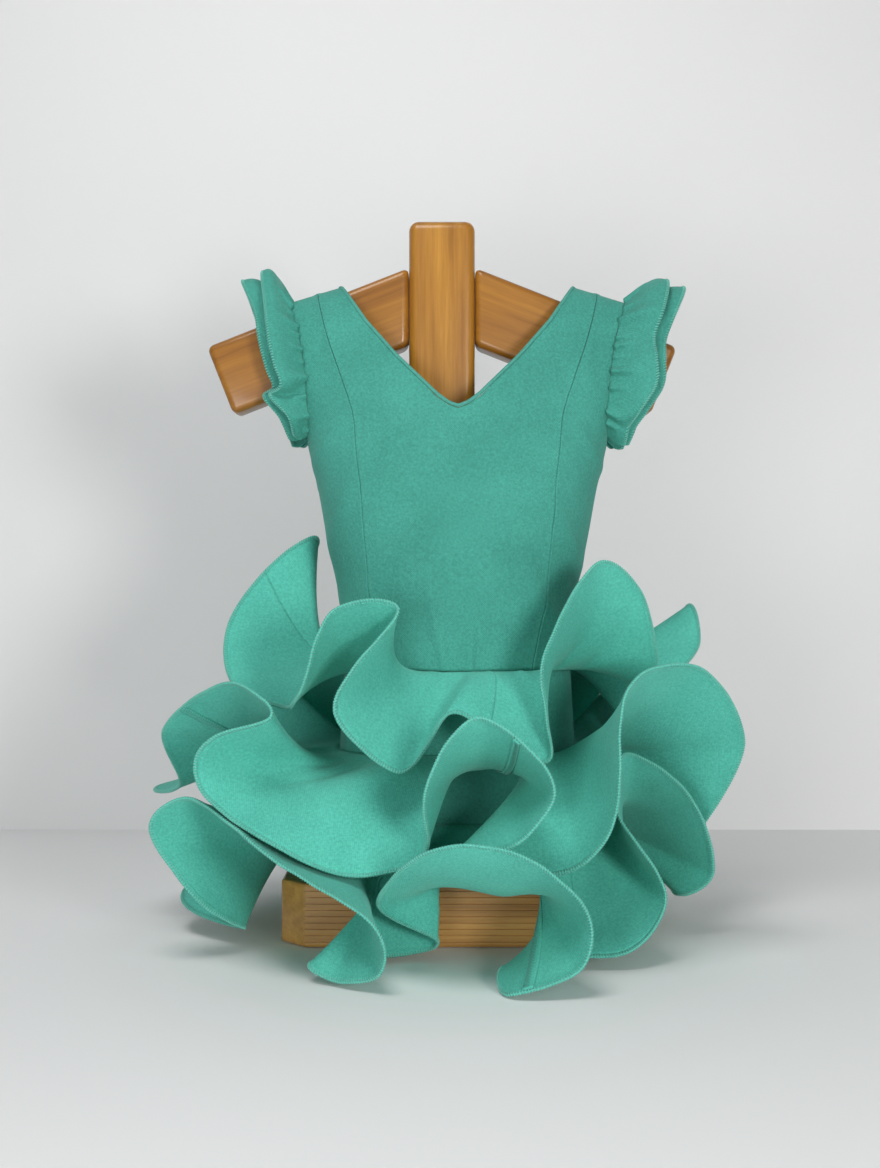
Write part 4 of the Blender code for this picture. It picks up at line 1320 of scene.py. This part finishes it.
sleeve_look = crepe("sleeve_crepe", TEAL, TEAL_DEEP)
for word, side, outer, under, pinches, crown in (
        ("left", -1, LEFT_OUTER, LEFT_UNDER, LEFT_GATHERS, 6.0),
        ("right", 1, RIGHT_OUTER, RIGHT_UNDER, RIGHT_GATHERS, 3.0)):
    for layer, rows, tuck, depth, swell in (("outer", outer, 0.0, 3.2, crown),
                                            ("under", under, UNDER_TUCK, 1.0, crown - 2.0)):
        points = points_of(SLEEVE_COLUMNS, SLEEVE_ROWS, sleeve_place(side, rows, tuck, swell),
                           gathers(pinches, GATHER_SHIFT * tuck * side, side * depth))
        frill = cloth_piece("frill_" + word + "_" + layer, points, sleeve_look,
                            "sleeve_" + word + "_" + layer)
        stitches = overlock("overlock_" + word + "_" + layer, *edge_frame(points), reach=2.2)
        stitches.data.materials.append(hem_thread)
        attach(stitches, "root")
        size, area = cut_size(points)


# Floor and back wall of the studio, in plain pale paper, and its soft lamps: the main one in front at
# the right, a low one in front at the left, and one overhead. The paper shows from its front alone.
FLOOR_PALE = (0.88, 0.88, 0.88, 1.0)
WALL_PALE = (0.84, 0.84, 0.84, 1.0)
WALL_BACK = 0.42
AIR = (0.86, 0.90, 0.94, 1.0)
AIR_STRENGTH = 0.16


def stage_card(name, size, place, turn, colour):
    bm = bmesh.new()
    bmesh.ops.create_grid(bm, x_segments=1, y_segments=1, size=0.5)
    mesh = bpy.data.meshes.new(name)
    bm.to_mesh(mesh)
    bm.free()
    card = bpy.data.objects.new(name, mesh)
    card.scale = (size[0], size[1], 1.0)
    card.location = place
    card.rotation_euler = turn
    bpy.context.scene.collection.objects.link(card)
    look = bpy.data.materials.new(name)
    look.use_nodes = True
    tree = look.node_tree
    shader = tree.nodes["Principled BSDF"]
    shader.inputs["Base Color"].default_value = colour
    shader.inputs["Roughness"].default_value = 0.85
    behind = node(tree, "ShaderNodeNewGeometry")
    clear = node(tree, "ShaderNodeBsdfTransparent")
    seen = node(tree, "ShaderNodeMixShader")
    tree.links.new(behind.outputs["Backfacing"], seen.inputs[0])
    tree.links.new(shader.outputs[0], seen.inputs[1])
    tree.links.new(clear.outputs[0], seen.inputs[2])
    tree.links.new(seen.outputs[0], tree.nodes["Material Output"].inputs["Surface"])
    card.data.materials.append(look)
    return card


floor = stage_card("floor", (6.0, 6.0), (0.0, 0.0, -0.0005), (0.0, 0.0, 0.0), FLOOR_PALE)
wall = stage_card("wall", (6.0, 3.0), (0.0, WALL_BACK, 1.0), (math.radians(90.0), 0.0, 0.0), WALL_PALE)
for name, place, aim, size, power, tint in (
        ("key", (0.72, -1.50, 0.36), (0.0, 0.0, 0.20), 0.42, 12.5, (1.0, 0.99, 0.97)),
        ("low", (-0.40, -1.15, 0.12), (0.0, 0.0, 0.14), 0.5, 5.0, (0.99, 1.0, 1.0)),
        ("top", (-0.25, -0.60, 1.25), (0.0, -0.05, 0.1), 0.6, 6.5, (1.0, 1.0, 1.0))):
    lamp_data = bpy.data.lights.new(name, "AREA")
    lamp_data.shape = "DISK"
    lamp_data.size = size
    lamp_data.energy = power
    lamp_data.color = tint
    lamp = bpy.data.objects.new(name, lamp_data)
    lamp.location = place
    lamp.rotation_euler = (Vector(aim) - Vector(place)).to_track_quat("-Z", "Y").to_euler()
    bpy.context.scene.collection.objects.link(lamp)
world = bpy.data.worlds.new("studio")
bpy.context.scene.world = world
world.use_nodes = True
world.node_tree.nodes["Background"].inputs["Color"].default_value = AIR
world.node_tree.nodes["Background"].inputs["Strength"].default_value = AIR_STRENGTH
